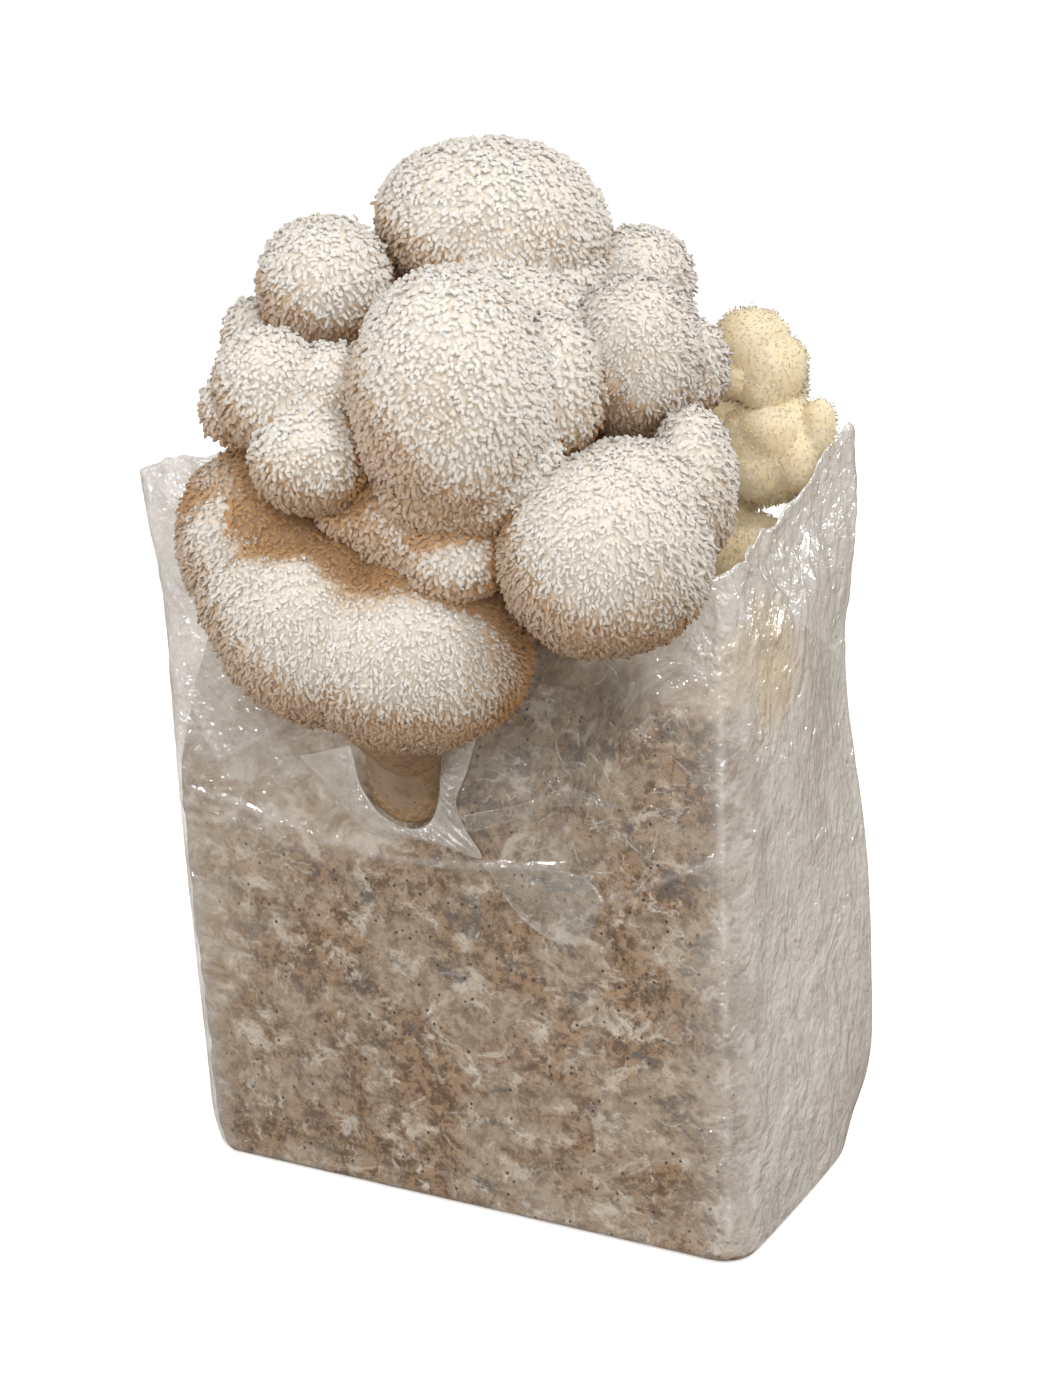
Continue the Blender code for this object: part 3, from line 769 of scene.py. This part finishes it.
# Lobes, spacing, length and girth of the spines in metres, and how many sides they have
SPINE_PIECES = {
    "centre_spines": (CENTRE_LOBES, 0.00140, 0.0026, 0.00134, 4),
    "crown_spines": (CROWN_LOBES, 0.00142, 0.0026, 0.00132, 4),
    "left_spines": (LEFT_LOBES, 0.00135, 0.0026, 0.00124, 4),
    "lower_spines": (LOWER_LOBES, 0.00131, 0.0026, 0.00111, 3),
    "right_spines": (RIGHT_LOBES, 0.00134, 0.0026, 0.00114, 3),
    "back_spines": (BACK_LOBES, 0.00200, 0.0031, 0.00165, 3),
}
for seed, (name, (chosen, spacing, length, girth, sides)) in enumerate(SPINE_PIECES.items()):
    chance = np.random.default_rng(100 + seed)
    roots, normals = sow(all_lobes, chosen, SPINE_INSET, spacing, chance)
    roots = roots + normals * relief(roots, normals)[:, None]
    above, below = tops_and_undersides(normals)
    away = turned_away(normals)
    sky = open_sky(roots, normals, main_lobes)
    tan_patches = 0.30 * smooth(0.1, 1.1, ripple(roots, 0.013, 13)) * (1 - above)
    count = len(roots)
    lengths = length * chance.uniform(0.80, 1.15, count) * (1 - 0.30 * below - 0.30 * above)
    girths = girth * chance.uniform(0.85, 1.15, count) * (1 - 0.10 * below + 0.08 * above)
    leaning = np.radians(chance.uniform(22, 46, count) + 14 * below + 20 * above)
    # Painted light and shade: tips whitest and spines palest where they lie open to the air and face the light,
    # tan in recesses, in the painted shadow over the low tops and on sides turned from the light; the tan
    # patches at random are the spines' own tone
    white = chance.uniform(0.5, 1.0, count) * smooth(0.18, 0.50, sky) * (1 - 0.65 * away)
    pale = chance.uniform(0.85, 1.0, count) * smooth(0.12, 0.75, sky) * (1 - 0.75 * away) - tan_patches
    pale = np.maximum(pale, 0.30 * away)
    spines = grow_spines(name, roots, normals, lengths, girths, leaning, COMBED_DOWN, white, pale, chance,
                         0.55 + 0.25 * above, sides)
    spines.data.materials.append(white_spines)
    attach(spines, "root")
    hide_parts("main_cluster")


# Second cluster
# The smaller fruiting body: creamy yellow lobes that stand on the block inside the bag's
# mouth, with a close, soft fuzz about 1 mm long in place of spines.

SECOND_LOBES = {
    "top": ((67.0, 33, 273.0), (13.5, 13.5, 13.7), 0),
    "top_right": ((73.5, 33.5, 266.5), (12.6, 13.5, 12.5), 0),
    "middle": ((71.8, 33, 241), (17.6, 18, 17.6), 0),
    "middle_top": ((80, 34, 250), (8.5, 10, 9.5), 0),
    "right": ((90.0, 33, 247.5), (7.0, 7.5, 11), 0),
    "tier_bump": ((73, 26.5, 262), (8.5, 7, 7), 0),
    "tier_bump_left": ((65, 25, 265), (7, 7, 7), 0),
    "front_bump": ((76, 25.5, 247), (11.5, 10, 10), 0),
    "front_bump_low": ((71, 24, 237), (12, 10, 10.5), 0),
    "front_bump_right": ((83, 29, 239), (10, 10, 10.5), 0),
    "left": ((55, 35, 252), (14, 14, 16), 0),
    "back": ((66, 46, 260), (15, 13, 16), 0),
    "back_low": ((58, 42, 234), (15, 13, 17), 0),
    "left_low": ((50, 31, 224), (14, 14, 16), 0),
    "low": ((64, 31, 207), (19, 15, 14), 0),
    "low_right": ((80, 29, 203), (8, 9, 11), 0),
    "foot": ((62, 33, 198), (21, 15, 14), 0),
}
FUZZ_INSET = 0.0009
FUZZ_SPACING = 0.00118
FUZZ_LENGTH = 0.0012
FUZZ_GIRTH = 0.00055
FUZZ_FOOT = 0.200
CREAM_VOXEL = 0.0010
CREAM_LETS_THROUGH = 0.78

second_lobes = placed(SECOND_LOBES, np.identity(3), (0, 0, 0))
second_flesh = grow_flesh("second_flesh", second_lobes, FUZZ_INSET, CREAM_VOXEL)


def make_cream_skin():
    """Creamy flesh, which lets most of the light through."""
    material, tree, shader, place = new_material("cream_flesh")
    grown = add_node(tree, "ShaderNodeGroup", {"node_tree": flesh_grain}, Place=place,
                     Cloud_Scale=0.5 / 0.005, Grain_Scale=0.5 / 0.0008, Strength=0.4).outputs
    colour = mix(tree, ramp(tree, grown["Clouds"], 0.35, 0.65), (0.94, 0.78, 0.50, 1), (0.96, 0.86, 0.63, 1))
    tree.links.new(colour, shader.inputs["Base Color"])
    tree.links.new(let_through(tree, CREAM_LETS_THROUGH), shader.inputs["Alpha"])
    shader.inputs["Roughness"].default_value = 0.65
    tree.links.new(grown["Normal"], shader.inputs["Normal"])
    return material


second_flesh.data.materials.append(make_cream_skin())
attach(second_flesh, "root")
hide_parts("second_cluster")

chance = np.random.default_rng(200)
roots, normals = sow(second_lobes, SECOND_LOBES, FUZZ_INSET, FUZZ_SPACING, chance)
shown = roots[:, 2] > FUZZ_FOOT
roots, normals = roots[shown], normals[shown]
roots = roots + normals * relief(roots, normals)[:, None]
count = len(roots)
lengths = FUZZ_LENGTH * chance.uniform(0.7, 1.2, count)
girths = FUZZ_GIRTH * chance.uniform(0.8, 1.2, count)
leaning = np.radians(chance.uniform(20, 65, count))
white = chance.uniform(0.3, 1.0, count)
pale = chance.uniform(0.75, 1.0, count)
fuzz = grow_spines("second_fuzz", roots, normals, lengths, girths, leaning, np.array((0.0, 0.0, -0.4)),
                   white, pale, chance, 0.85, 3, ((0.0, 0.9), (0.6, 0.9)))
CREAM_FUZZ_COLOURS = ((0.93, 0.75, 0.45, 1), (0.94, 0.79, 0.51, 1), (0.94, 0.82, 0.57, 1),
                      (0.95, 0.86, 0.65, 1), (0.96, 0.91, 0.77, 1))
fuzz.data.materials.append(make_spine_skin("cream_fuzz", *CREAM_FUZZ_COLOURS))
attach(fuzz, "root")
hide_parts("second_cluster")


# Grow bag
# Clear polypropylene film about 0.1 mm thick, cut open at the top and at the hole. It clings
# to the block, and stands free, milky and creased over the slumped shoulder and the mouth.

# In metres, a little more than the real film
FILM_THICKNESS = 0.00018
BASE_HAZE = 0.2
MOST_HAZE = 0.95
END_LETS_THROUGH = 0.75
LEFT_FLARE = 0.0055
GUSSET_DEPTH = 0.005
COLLAR_BULGE = 0.005
COLLAR_REACH = 0.030
# Cut edge: place as a share of half the width and half the depth, and height, going round
RIM_POINTS = (
    (-1.00, -1.00, 0.243), (-0.86, -1.00, 0.2275), (-0.55, -1.00, 0.212), (0.00, -1.00, 0.203),
    (0.50, -1.00, 0.208), (0.88, -1.00, 0.220), (1.00, -0.75, 0.229), (1.00, 0.00, 0.233),
    (1.00, 0.47, 0.243), (1.00, 0.77, 0.250), (0.88, 1.00, 0.239), (0.45, 1.00, 0.224),
    (-0.20, 1.00, 0.219), (-0.75, 1.00, 0.227), (-1.00, 0.83, 0.240), (-1.00, 0.00, 0.240),
)

# Folds of the front film (x, z) and of the right end (y, z): path, half width, how far the
# fold stands out, and how much milkier the doubled film is there
FRONT_FOLDS = (
    (((-0.0935, 0.1348), (-0.0737, 0.131), (-0.0543, 0.1259), (-0.0163, 0.1215), (0.0151, 0.1236),
      (0.0418, 0.1265)), 0.0016, 0.0012, 0.30),
    (((-0.092, 0.1715), (-0.0823, 0.1467), (-0.0551, 0.1635)), 0.0014, 0.0010, 0.22),
    (((-0.098, 0.1307), (-0.082, 0.1275), (-0.0549, 0.1189)), 0.0014, 0.0010, 0.22),
    (((0.0407, 0.1007), (0.0552, 0.1163), (0.0859, 0.1322), (0.1003, 0.1377)), 0.0012, 0.0008, 0.22),
)
CORNER_CREASE = 0.55
END_FOLDS = (
    (((-0.0580, 0.2289), (-0.0560, 0.1993), (-0.0590, 0.175)), 0.0014, 0.0012, 0.30),
    (((-0.0559, 0.2289), (-0.019, 0.2067), (-0.0309, 0.1972)), 0.0014, 0.0010, 0.25),
    (((0.0105, 0.2188), (0.0054, 0.2135), (0.0094, 0.203)), 0.0014, 0.0010, 0.25),
)


def rim_height(points):
    """Height of the cut edge, read between its given points by the angle round the bag."""
    given = np.array(RIM_POINTS)
    angle = np.arctan2(points[..., 1] / BAG_DEPTH, points[..., 0] / BAG_WIDTH)
    given_angle = np.arctan2(given[:, 1], given[:, 0])
    even = np.interp(angle, given_angle, given[:, 2], period=2 * np.pi)
    torn = ripple(up(points, 0.0), 0.009, 21) + 0.6 * ripple(up(points, 0.0), 0.0035, 22)
    return even + 0.0011 * torn


def film_swell(points, normals, height):
    """How far the film stands out of the plan: the flared left end, the drawn-in gusset of
    each end, and the collar round the hole, exp(-(distance / reach)^2)."""
    x, y = points[..., 0], points[..., 1]
    flare = LEFT_FLARE * smooth(0.190, 0.245, height) * smooth(-0.040, -0.096, x)
    flare = flare * (np.abs(normals[..., 0]) + 0.4 * np.maximum(-normals[..., 1], 0))
    across = np.clip(1 - (2 * y / BAG_DEPTH) ** 2, 0, 1)
    gusset = GUSSET_DEPTH * across * np.abs(normals[..., 0]) * smooth(0.196, 0.225, height)
    beside = (x - HOLE_CENTRE[0]) / COLLAR_REACH
    above = (height - HOLE_CENTRE[2]) / COLLAR_REACH
    collar = COLLAR_BULGE * np.exp(-beside ** 2 - above ** 2) * np.maximum(-normals[..., 1], 0)
    return flare - gusset + collar


def nearness(place, path, width):
    """1 on a fold's line and exp(-(distance / width)^2) beside it, where the distance is to
    the nearest of the straight runs between the path's points."""
    path = np.array(path)
    nearest = np.full(place.shape[:-1], np.inf)
    for start, end in zip(path[:-1], path[1:]):
        run = end - start
        along = np.clip((place - start) @ run / (run @ run), 0, 1)
        away = place - start - along[..., None] * run
        nearest = np.minimum(nearest, np.linalg.norm(away, axis=-1))
    return np.exp(-(nearest / width) ** 2)


def crumple(points, size, seed, waves=9):
    """A creased field from -1 to 1: the mean of sharp-valleyed waves, |sin|, in random
    directions, which meet in flat facets as crumpled film does."""
    chance = np.random.default_rng(seed)
    heading = chance.normal(size=(3, waves))
    heading *= np.pi / (size * chance.uniform(0.8, 2.0, waves) * np.linalg.norm(heading, axis=0))
    bent = points + 0.25 * size * np.stack([ripple(points, size, seed + step) for step in (1, 2, 3)], axis=-1)
    waved = np.abs(np.sin(bent @ heading + chance.uniform(0, np.pi, waves)))
    return (waved.mean(axis=-1) - 2 / np.pi) * 3.5


def film_stand(points, normals, height):
    """How far the film stands out of the plan, and its milkiness, 0 to 1. Film that clings to
    the block is clear, free film is slack, and milky at the left and the right end."""
    place = up(points, height)
    free = smooth(-0.008, 0.024, height - block_height(points))
    calm = 1 - 0.7 * np.exp(-np.sum(((place - HOLE_CENTRE) / 0.035) ** 2, axis=-1))
    calm = calm * (1 - 0.5 * smooth(-0.030, -0.080, place[..., 0]))
    stand = film_swell(points, normals, height)
    stand = stand + calm * free * (0.0008 * crumple(place, 0.026, 31) + 0.0005 * crumple(place, 0.009, 41)
                                   + 0.00025 * crumple(place, 0.0055, 71))
    stand = stand + (1 - free) * 0.00012 * crumple(place, 0.012, 51)
    ends = 0.52 * smooth(-0.050, -0.092, place[..., 0]) + 0.84 * smooth(0.060, 0.092, place[..., 0])
    milky_end = 0.30 * smooth(0.074, 0.101, place[..., 0]) + np.clip(normals[..., 0], 0, 1) ** 3 * (
        0.43 + 0.24 * smooth(-0.056, -0.020, place[..., 1]))
    milky_end = milky_end + 0.50 * smooth(-0.088, -0.1005, place[..., 0])
    haze = 0.07 + np.maximum(free * (0.09 + ends), milky_end) + 0.05 * ripple(place, 0.02, 61)
    # A crease down the front right corner stands out and is milkier: a whitened crease, whose bright line is in
    # part a painted highlight
    bent = np.arctan2(normals[..., 0], -normals[..., 1])
    ridge = np.exp(-((bent - CORNER_CREASE) / 0.12) ** 2) * smooth(0.004, 0.015, height)
    ridge = ridge * np.clip(0.7 + 0.5 * ripple(place, 0.010, 62), 0, 1)
    stand = stand + 0.0008 * ridge
    haze = haze + 0.40 * ridge
    for folds, axis, facing in ((FRONT_FOLDS, 0, np.clip(-normals[..., 1], 0, 1)),
                                (END_FOLDS, 1, np.clip(normals[..., 0], 0, 1))):
        on_wall = np.stack((points[..., axis], height), axis=-1)
        for path, width, depth, milk in folds:
            near = nearness(on_wall, path, width) * facing ** 2
            stand = stand + depth * near
            haze = haze + milk * near
    return stand, haze


def make_film():
    """The bag as rows over (height, way round): the flat base, the foot's quarter circle and
    the wall up to the cut edge, finer at the front, the right end and the top."""
    share = np.interp(np.linspace(0, 1, 380, endpoint=False), (0, 0.30, 0.60, 1), (0, 0.20, 0.67, 1))
    points, normals = plan(share)
    rows = []
    for scale in (0.25, 0.6, 0.9):
        rows.append(up((points - normals * FOOT_RADIUS + lean(points, 0.0)) * scale, 0.0))
    for angle in np.linspace(0, np.pi / 2, 6)[:-1]:
        inward = FOOT_RADIUS * (1 - np.sin(angle))
        height = FOOT_RADIUS * (1 - np.cos(angle))
        rows.append(up(points - normals * inward + lean(points, height), height))
    rim = rim_height(points)
    wall_share = np.interp(np.linspace(0, 1, 112), (0, 0.25, 1), (0, 0.45, 1))[:, None]
    height = FOOT_RADIUS + wall_share * (rim - FOOT_RADIUS)
    points = np.broadcast_to(points, height.shape + (2,))
    normals = np.broadcast_to(normals, height.shape + (2,))
    stand, haze = film_stand(points, normals, height)
    haze = np.maximum(haze, 0.85 * smooth(0.985, 1.0, wall_share))
    outline = points + normals * stand[..., None] + lean(points, height)
    film = np.concatenate((np.array(rows), up(outline, height)))
    low = np.full((len(rows), film.shape[1]), BASE_HAZE)
    return film, np.clip(np.concatenate((low, haze)), 0.05, MOST_HAZE)


def creaminess(points):
    """Where the second fruit's foot shows cream through the film: 1 at the middle of the
    right end's shoulder, falling to 0 over an uneven 25 mm."""
    away = np.linalg.norm((points - (0.1000, -0.032, 0.190)) / (0.020, 0.029, 0.023), axis=-1)
    return smooth(1.15, 0.35, away + 0.30 * ripple(points, 0.010, 63))


def cut_hole(thing):
    """Takes out the faces in the hole, and moves the points along its edge onto the oval
    (x / half width)^2 + (z / half height)^2 = 1."""
    points = corners_of(thing)
    centre = np.array(HOLE_CENTRE)
    offset = (points - centre)[:, [0, 2]] / HOLE_HALF
    away = np.where(points[:, 1] < -0.04, np.linalg.norm(offset, axis=1), 9.0)
    faces = [tuple(face.vertices) for face in thing.data.polygons]
    inner = np.array([min(face) >= 0 and np.mean(away[list(face)]) < 1 for face in faces])
    cut_points = {vertex for face, cut in zip(faces, inner) if cut for vertex in face}
    kept = [face for face, cut in zip(faces, inner) if not cut]
    edge = np.array(sorted(cut_points & {vertex for face in kept for vertex in face}))
    snapped = centre[[0, 2]] + (points[edge] - centre)[:, [0, 2]] / away[edge, None]
    points[edge[:, None], [0, 2]] = snapped
    used = np.unique(np.concatenate([np.array(face) for face in kept]))
    renumbered = np.full(len(points), -1)
    renumbered[used] = np.arange(len(used))
    mesh = bpy.data.meshes.new(thing.name)
    mesh.from_pydata(points[used], [], [tuple(renumbered[list(face)]) for face in kept])
    mesh.shade_smooth()
    thing.data = mesh
    return used


def make_clear_film():
    """Clear film: as see-through as its haze allows, glossy, with fine crumples. The milky
    right end scatters light onwards: it shades what is behind it by a quarter of its haze."""
    material, tree, shader, place = new_material("clear_film")
    haze = attribute(tree, "haze")
    streaks = noise(tree, place, 0.006, 6.0, 0.66, (1, 1, 1.6), 0.8)
    milk = times(tree, haze, ramp(tree, streaks, 0.3, 0.7, 0.68, 1.30))
    across = add_node(tree, "ShaderNodeSeparateXYZ", Vector=place).outputs[0]
    unshaded = let_through(tree, ramp(tree, across, 0.02, 0.08, 0.0, END_LETS_THROUGH))
    tree.links.new(times(tree, milk, unshaded), shader.inputs["Alpha"])
    colour = mix(tree, attribute(tree, "cream"), (0.90, 0.895, 0.885, 1), (0.92, 0.75, 0.47, 1))
    tree.links.new(colour, shader.inputs["Base Color"])
    shader.inputs["Roughness"].default_value = 0.08
    shader.inputs["IOR"].default_value = 1.9
    shader.inputs["Specular IOR Level"].default_value = 1.0
    shader.inputs["Coat Weight"].default_value = 1.0
    shader.inputs["Coat Roughness"].default_value = 0.05
    shader.inputs["Coat IOR"].default_value = 1.9
    coarse = maths(tree, "SUBTRACT", noise(tree, place, 0.008, 3.0, 0.5, (1, 1, 1.3), 0.6), 0.5)
    fine = maths(tree, "SUBTRACT", noise(tree, place, 0.0025, 2.0, 0.5), 0.5)
    crinkled = times(tree, maths(tree, "ABSOLUTE", fine), 0.42)
    height = maths(tree, "ADD", maths(tree, "ABSOLUTE", coarse), crinkled)
    bump = add_node(tree, "ShaderNodeBump", Height=height, Strength=1.0, Distance=0.0048)
    tree.links.new(bump.outputs[0], shader.inputs["Normal"])
    return material


# Doubled film on the front wall, each a sheet between two lines of (x, z): the collar round
# the hole with its torn tail, a flap under it and a lens-shaped fold beside it
COLLAR_OUTER = ((-0.0522, 0.1520), (-0.0412, 0.1441), (-0.0251, 0.1302), (-0.0068, 0.1304), (0.0020, 0.1293),
                (0.0151, 0.1266), (0.0098, 0.1363), (0.0078, 0.1436), (0.0117, 0.1550), (0.0155, 0.1665))
COLLAR_INNER = ((-0.0300, 0.1590), (-0.0260, 0.1450), (-0.0186, 0.1368), (-0.0100, 0.1338), (-0.0060, 0.1343),
                (-0.0020, 0.1368), (0.0002, 0.1400), (0.0018, 0.1440), (0.0032, 0.1540), (0.0034, 0.1640))
FLAP = (((0.0153, 0.1255), (0.0290, 0.1262), (0.0429, 0.1262), (0.0520, 0.1240), (0.0574, 0.1179)),
        ((0.0153, 0.1255), (0.0259, 0.1098), (0.0397, 0.1019), (0.0470, 0.1030), (0.0514, 0.1061)))
LENS = (((0.0086, 0.1401), (0.0282, 0.1457), (0.0490, 0.1533), (0.0593, 0.1504), (0.0672, 0.1492)),
        ((0.0124, 0.1350), (0.0280, 0.1410), (0.0405, 0.1465), (0.0528, 0.1481), (0.0672, 0.1488)))
# Small creases: the wall, two corners of the stretch they lie on, and how many are laid there
CREASES = (("front", (-0.082, 0.015), (0.080, 0.195), 70),
           ("front", (0.025, 0.120), (0.090, 0.200), 55),
           ("end", (-0.040, 0.015), (0.046, 0.195), 50))
CREASE_FREE = 0.026
CREASE_MILK = 0.34


def laid(wall, place, lift):
    """Points (along the wall, height) on the front or the right end, lifted off the film."""
    along, height = place[..., 0], place[..., 1]
    if wall == "front":
        points = np.stack((along, np.full_like(along, -BAG_DEPTH / 2)), axis=-1)
        normals = np.broadcast_to((0.0, -1.0), points.shape)
    else:
        points = np.stack((np.full_like(along, BAG_WIDTH / 2), along), axis=-1)
        normals = np.broadcast_to((1.0, 0.0), points.shape)
    stand, _ = film_stand(points, normals, height)
    return up(points + normals * (stand + lift)[..., None] + lean(points, height), height)


def along_path(path, count):
    """A path's points, evenly spaced by length on the smooth curve through them: each
    stretch is the Hermite cubic with the slopes of its neighbours' chords."""
    path = np.array(path)
    length = np.append(0, np.cumsum(np.linalg.norm(np.diff(path, axis=0), axis=1)))
    slope = np.gradient(path, length, axis=0)
    at = np.linspace(0, length[-1], count)
    index = np.clip(np.searchsorted(length, at) - 1, 0, len(path) - 2)
    run = (length[index + 1] - length[index])[:, None]
    t = (at - length[index])[:, None] / run
    return ((2 * t ** 3 - 3 * t ** 2 + 1) * path[index] + (t ** 3 - 2 * t ** 2 + t) * run * slope[index]
            + (3 * t ** 2 - 2 * t ** 3) * path[index + 1] + (t ** 3 - t ** 2) * run * slope[index + 1])


def grid_faces(rows, columns, first):
    """Quads of an open grid whose points start at the index given."""
    index = first + np.arange(rows * columns).reshape(rows, columns)
    return np.stack((index[:-1, :-1], index[:-1, 1:], index[1:, 1:], index[1:, :-1]), axis=-1).reshape(-1, 4)


def make_strips():
    """The doubled film: a collar raised by sin(pi t) between its lines with fine fans of
    pleats, two flat folds, and creases, which are narrow tents along random short lines."""
    points, faces, haze = [], [], []

    def add(grid, milk):
        faces.extend(grid_faces(*grid.shape[:2], sum(len(part) for part in points)).tolist())
        points.append(grid.reshape(-1, 3))
        haze.append(np.broadcast_to(milk, grid.shape[:2]).ravel())

    across = np.linspace(0, 1, 15)[:, None]
    inner, outer = along_path(COLLAR_INNER, 160), along_path(COLLAR_OUTER, 160)
    place = inner + across[..., None] * (outer - inner)
    way = np.linspace(0, 1, 160)
    pleats = 0.00035 * np.sin(way * 160 + 3 * np.sin(way * 23)) * smooth(0.35, 0.5, way)
    pleats = pleats * np.sin(np.pi * across)
    edges = 0.30 * (smooth(0.12, 0.0, across) + smooth(0.90, 1.0, across))
    add(laid("front", place, 0.0004 + 0.0012 * np.sin(np.pi * across) + pleats), 0.52 + edges)
    for upper, lower in (FLAP, LENS):
        above, under = along_path(upper, 60), along_path(lower, 60)
        place = above + across[..., None] * (under - above)
        edges = 0.25 * (smooth(0.10, 0.0, across) + smooth(0.92, 1.0, across))
        add(laid("front", place, np.full(place.shape[:2], 0.0005)), 0.16 + edges)
    chance = np.random.default_rng(70)
    for wall, low, high, count in CREASES:
        for _ in range(count):
            middle = chance.uniform(low, high)
            heading = chance.uniform(0, np.pi)
            if np.linalg.norm(middle - (HOLE_CENTRE[0], HOLE_CENTRE[2])) < CREASE_FREE:
                continue
            half = 0.0012 + 0.0055 * chance.uniform() ** 2
            t = np.linspace(-1, 1, 9)
            bow = chance.uniform(-0.3, 0.3) * half * (1 - t ** 2)
            run = np.array((np.cos(heading), np.sin(heading)))
            side = np.array((-run[1], run[0]))
            width = 0.00060 * np.sqrt(1 - 0.98 * t ** 2) * chance.uniform(0.6, 1.4)
            line = middle + half * t[:, None] * run + bow[:, None] * side
            tent = np.stack([line + share * width[:, None] * side for share in (-1, 0, 1)])
            rise = np.stack((0 * width, width * 1.2, 0 * width)) + 0.00025
            add(laid(wall, tent, rise), np.array((0.1, CREASE_MILK, 0.1))[:, None])
    mesh = bpy.data.meshes.new("film_folds")
    mesh.from_pydata(np.concatenate(points), [], faces)
    mesh.shade_smooth()
    thing = bpy.data.objects.new("film_folds", mesh)
    bpy.context.scene.collection.objects.link(thing)
    return thing, np.concatenate(haze)


film_rows, film_haze = make_film()
film = skin("film_bag", film_rows, (0.0, 0.0, 0.0))
kept_points = cut_hole(film)
film_haze = np.append(film_haze.ravel(), BASE_HAZE)[kept_points]
folds, folds_haze = make_strips()
clear_film = make_clear_film()
for thing, milk in ((film, film_haze), (folds, folds_haze)):
    # Light crosses both faces of the film, and each takes its half of the haze
    store(thing, "haze", 1 - np.sqrt(1 - np.clip(milk, 0.0, MOST_HAZE)))
    store(thing, "cream", 0.60 * creaminess(corners_of(thing)))
    thing.data.materials.append(clear_film)
    sheet = thing.modifiers.new("film", "SOLIDIFY")
    sheet.thickness = FILM_THICKNESS
    sheet.offset = -1
    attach(thing, "root")
    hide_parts("grow_bag")


# Studio
# A plain pale floor, soft light from above and a little to the right, and the camera where
# the photograph was taken from.

CAMERA_PLACE = (0.372, -0.672, 0.388)
CAMERA_AZIMUTH = np.radians(29.1)
CAMERA_FALL = np.radians(16.6)
CAMERA_ROLL = np.radians(-2.4)
CAMERA_LENS = 61.71

camera_data = bpy.data.cameras.new("camera")
camera_data.lens = CAMERA_LENS
camera_data.sensor_width = 36
camera = bpy.data.objects.new("camera", camera_data)
camera.matrix_world = (Matrix.Translation(CAMERA_PLACE) @ Matrix.Rotation(CAMERA_AZIMUTH, 4, "Z")
                       @ Matrix.Rotation(np.pi / 2 - CAMERA_FALL, 4, "X")
                       @ Matrix.Rotation(CAMERA_ROLL, 4, "Z"))
bpy.context.scene.collection.objects.link(camera)
bpy.context.scene.camera = camera

world = bpy.data.worlds.new("studio")
world.use_nodes = True
world.node_tree.nodes["Background"].inputs["Color"].default_value = (1.0, 0.95, 0.89, 1)
world.node_tree.nodes["Background"].inputs["Strength"].default_value = 0.74
bpy.context.scene.world = world
bpy.context.scene.view_settings.view_transform = "Standard"

# Square soft lights: place, the point that each faces, width in metres, power and colour
LIGHTS = {
    "key": ((0.85, -0.32, 1.34), (0, -0.02, 0.2), 0.22, 5.3, (1.0, 0.99, 0.97)),
    "front": ((0.75, -1.20, 0.75), (0, 0, 0.2), 0.70, 5.5, (1.0, 0.995, 0.98)),
    "sparkle": ((-0.62, -1.15, 0.45), (0, 0, 0.12), 0.10, 3.2, (1.0, 1.0, 1.0)),
    "rim": ((0.75, 1.05, 0.32), (0.05, 0, 0.15), 0.16, 1.6, (1.0, 1.0, 1.0)),
}
for name, (place, aim, width, power, colour) in LIGHTS.items():
    data = bpy.data.lights.new(name, "AREA")
    data.size, data.energy, data.color = width, power, colour
    light = bpy.data.objects.new(name, data)
    turn = (Vector(place) - Vector(aim)).to_track_quat("Z", "Y").to_matrix().to_4x4()
    light.matrix_world = Matrix.Translation(place) @ turn
    bpy.context.scene.collection.objects.link(light)

FLOOR_HALF = 60
WALL_HEIGHT = 4.0
floor_mesh = bpy.data.meshes.new("floor")
floor_ring = FLOOR_HALF * np.array([(-1, -1), (1, -1), (1, 1), (-1, 1)])
floor_mesh.from_pydata(np.vstack((up(floor_ring, 0.0), up(floor_ring * 1.1, WALL_HEIGHT))), [],
                       [(0, 1, 2, 3)] + [(a, (a + 1) % 4, 4 + (a + 1) % 4, 4 + a) for a in range(4)])
floor = bpy.data.objects.new("floor", floor_mesh)
floor_material, floor_tree, floor_shader, _ = new_material("floor")
seen = floor_tree.nodes.new("ShaderNodeLightPath").outputs["Is Camera Ray"]
floor_colour = mix(floor_tree, seen, (0.32, 0.27, 0.22, 1), (0.93, 0.93, 0.925, 1))
floor_tree.links.new(floor_colour, floor_shader.inputs["Base Color"])
floor_tree.links.new(times(floor_tree, seen, 0.62), floor_shader.inputs["Emission Strength"])
floor_shader.inputs["Emission Color"].default_value = (1, 1, 1, 1)
floor_shader.inputs["Roughness"].default_value = 0.9
floor_mesh.materials.append(floor_material)
bpy.context.scene.collection.objects.link(floor)
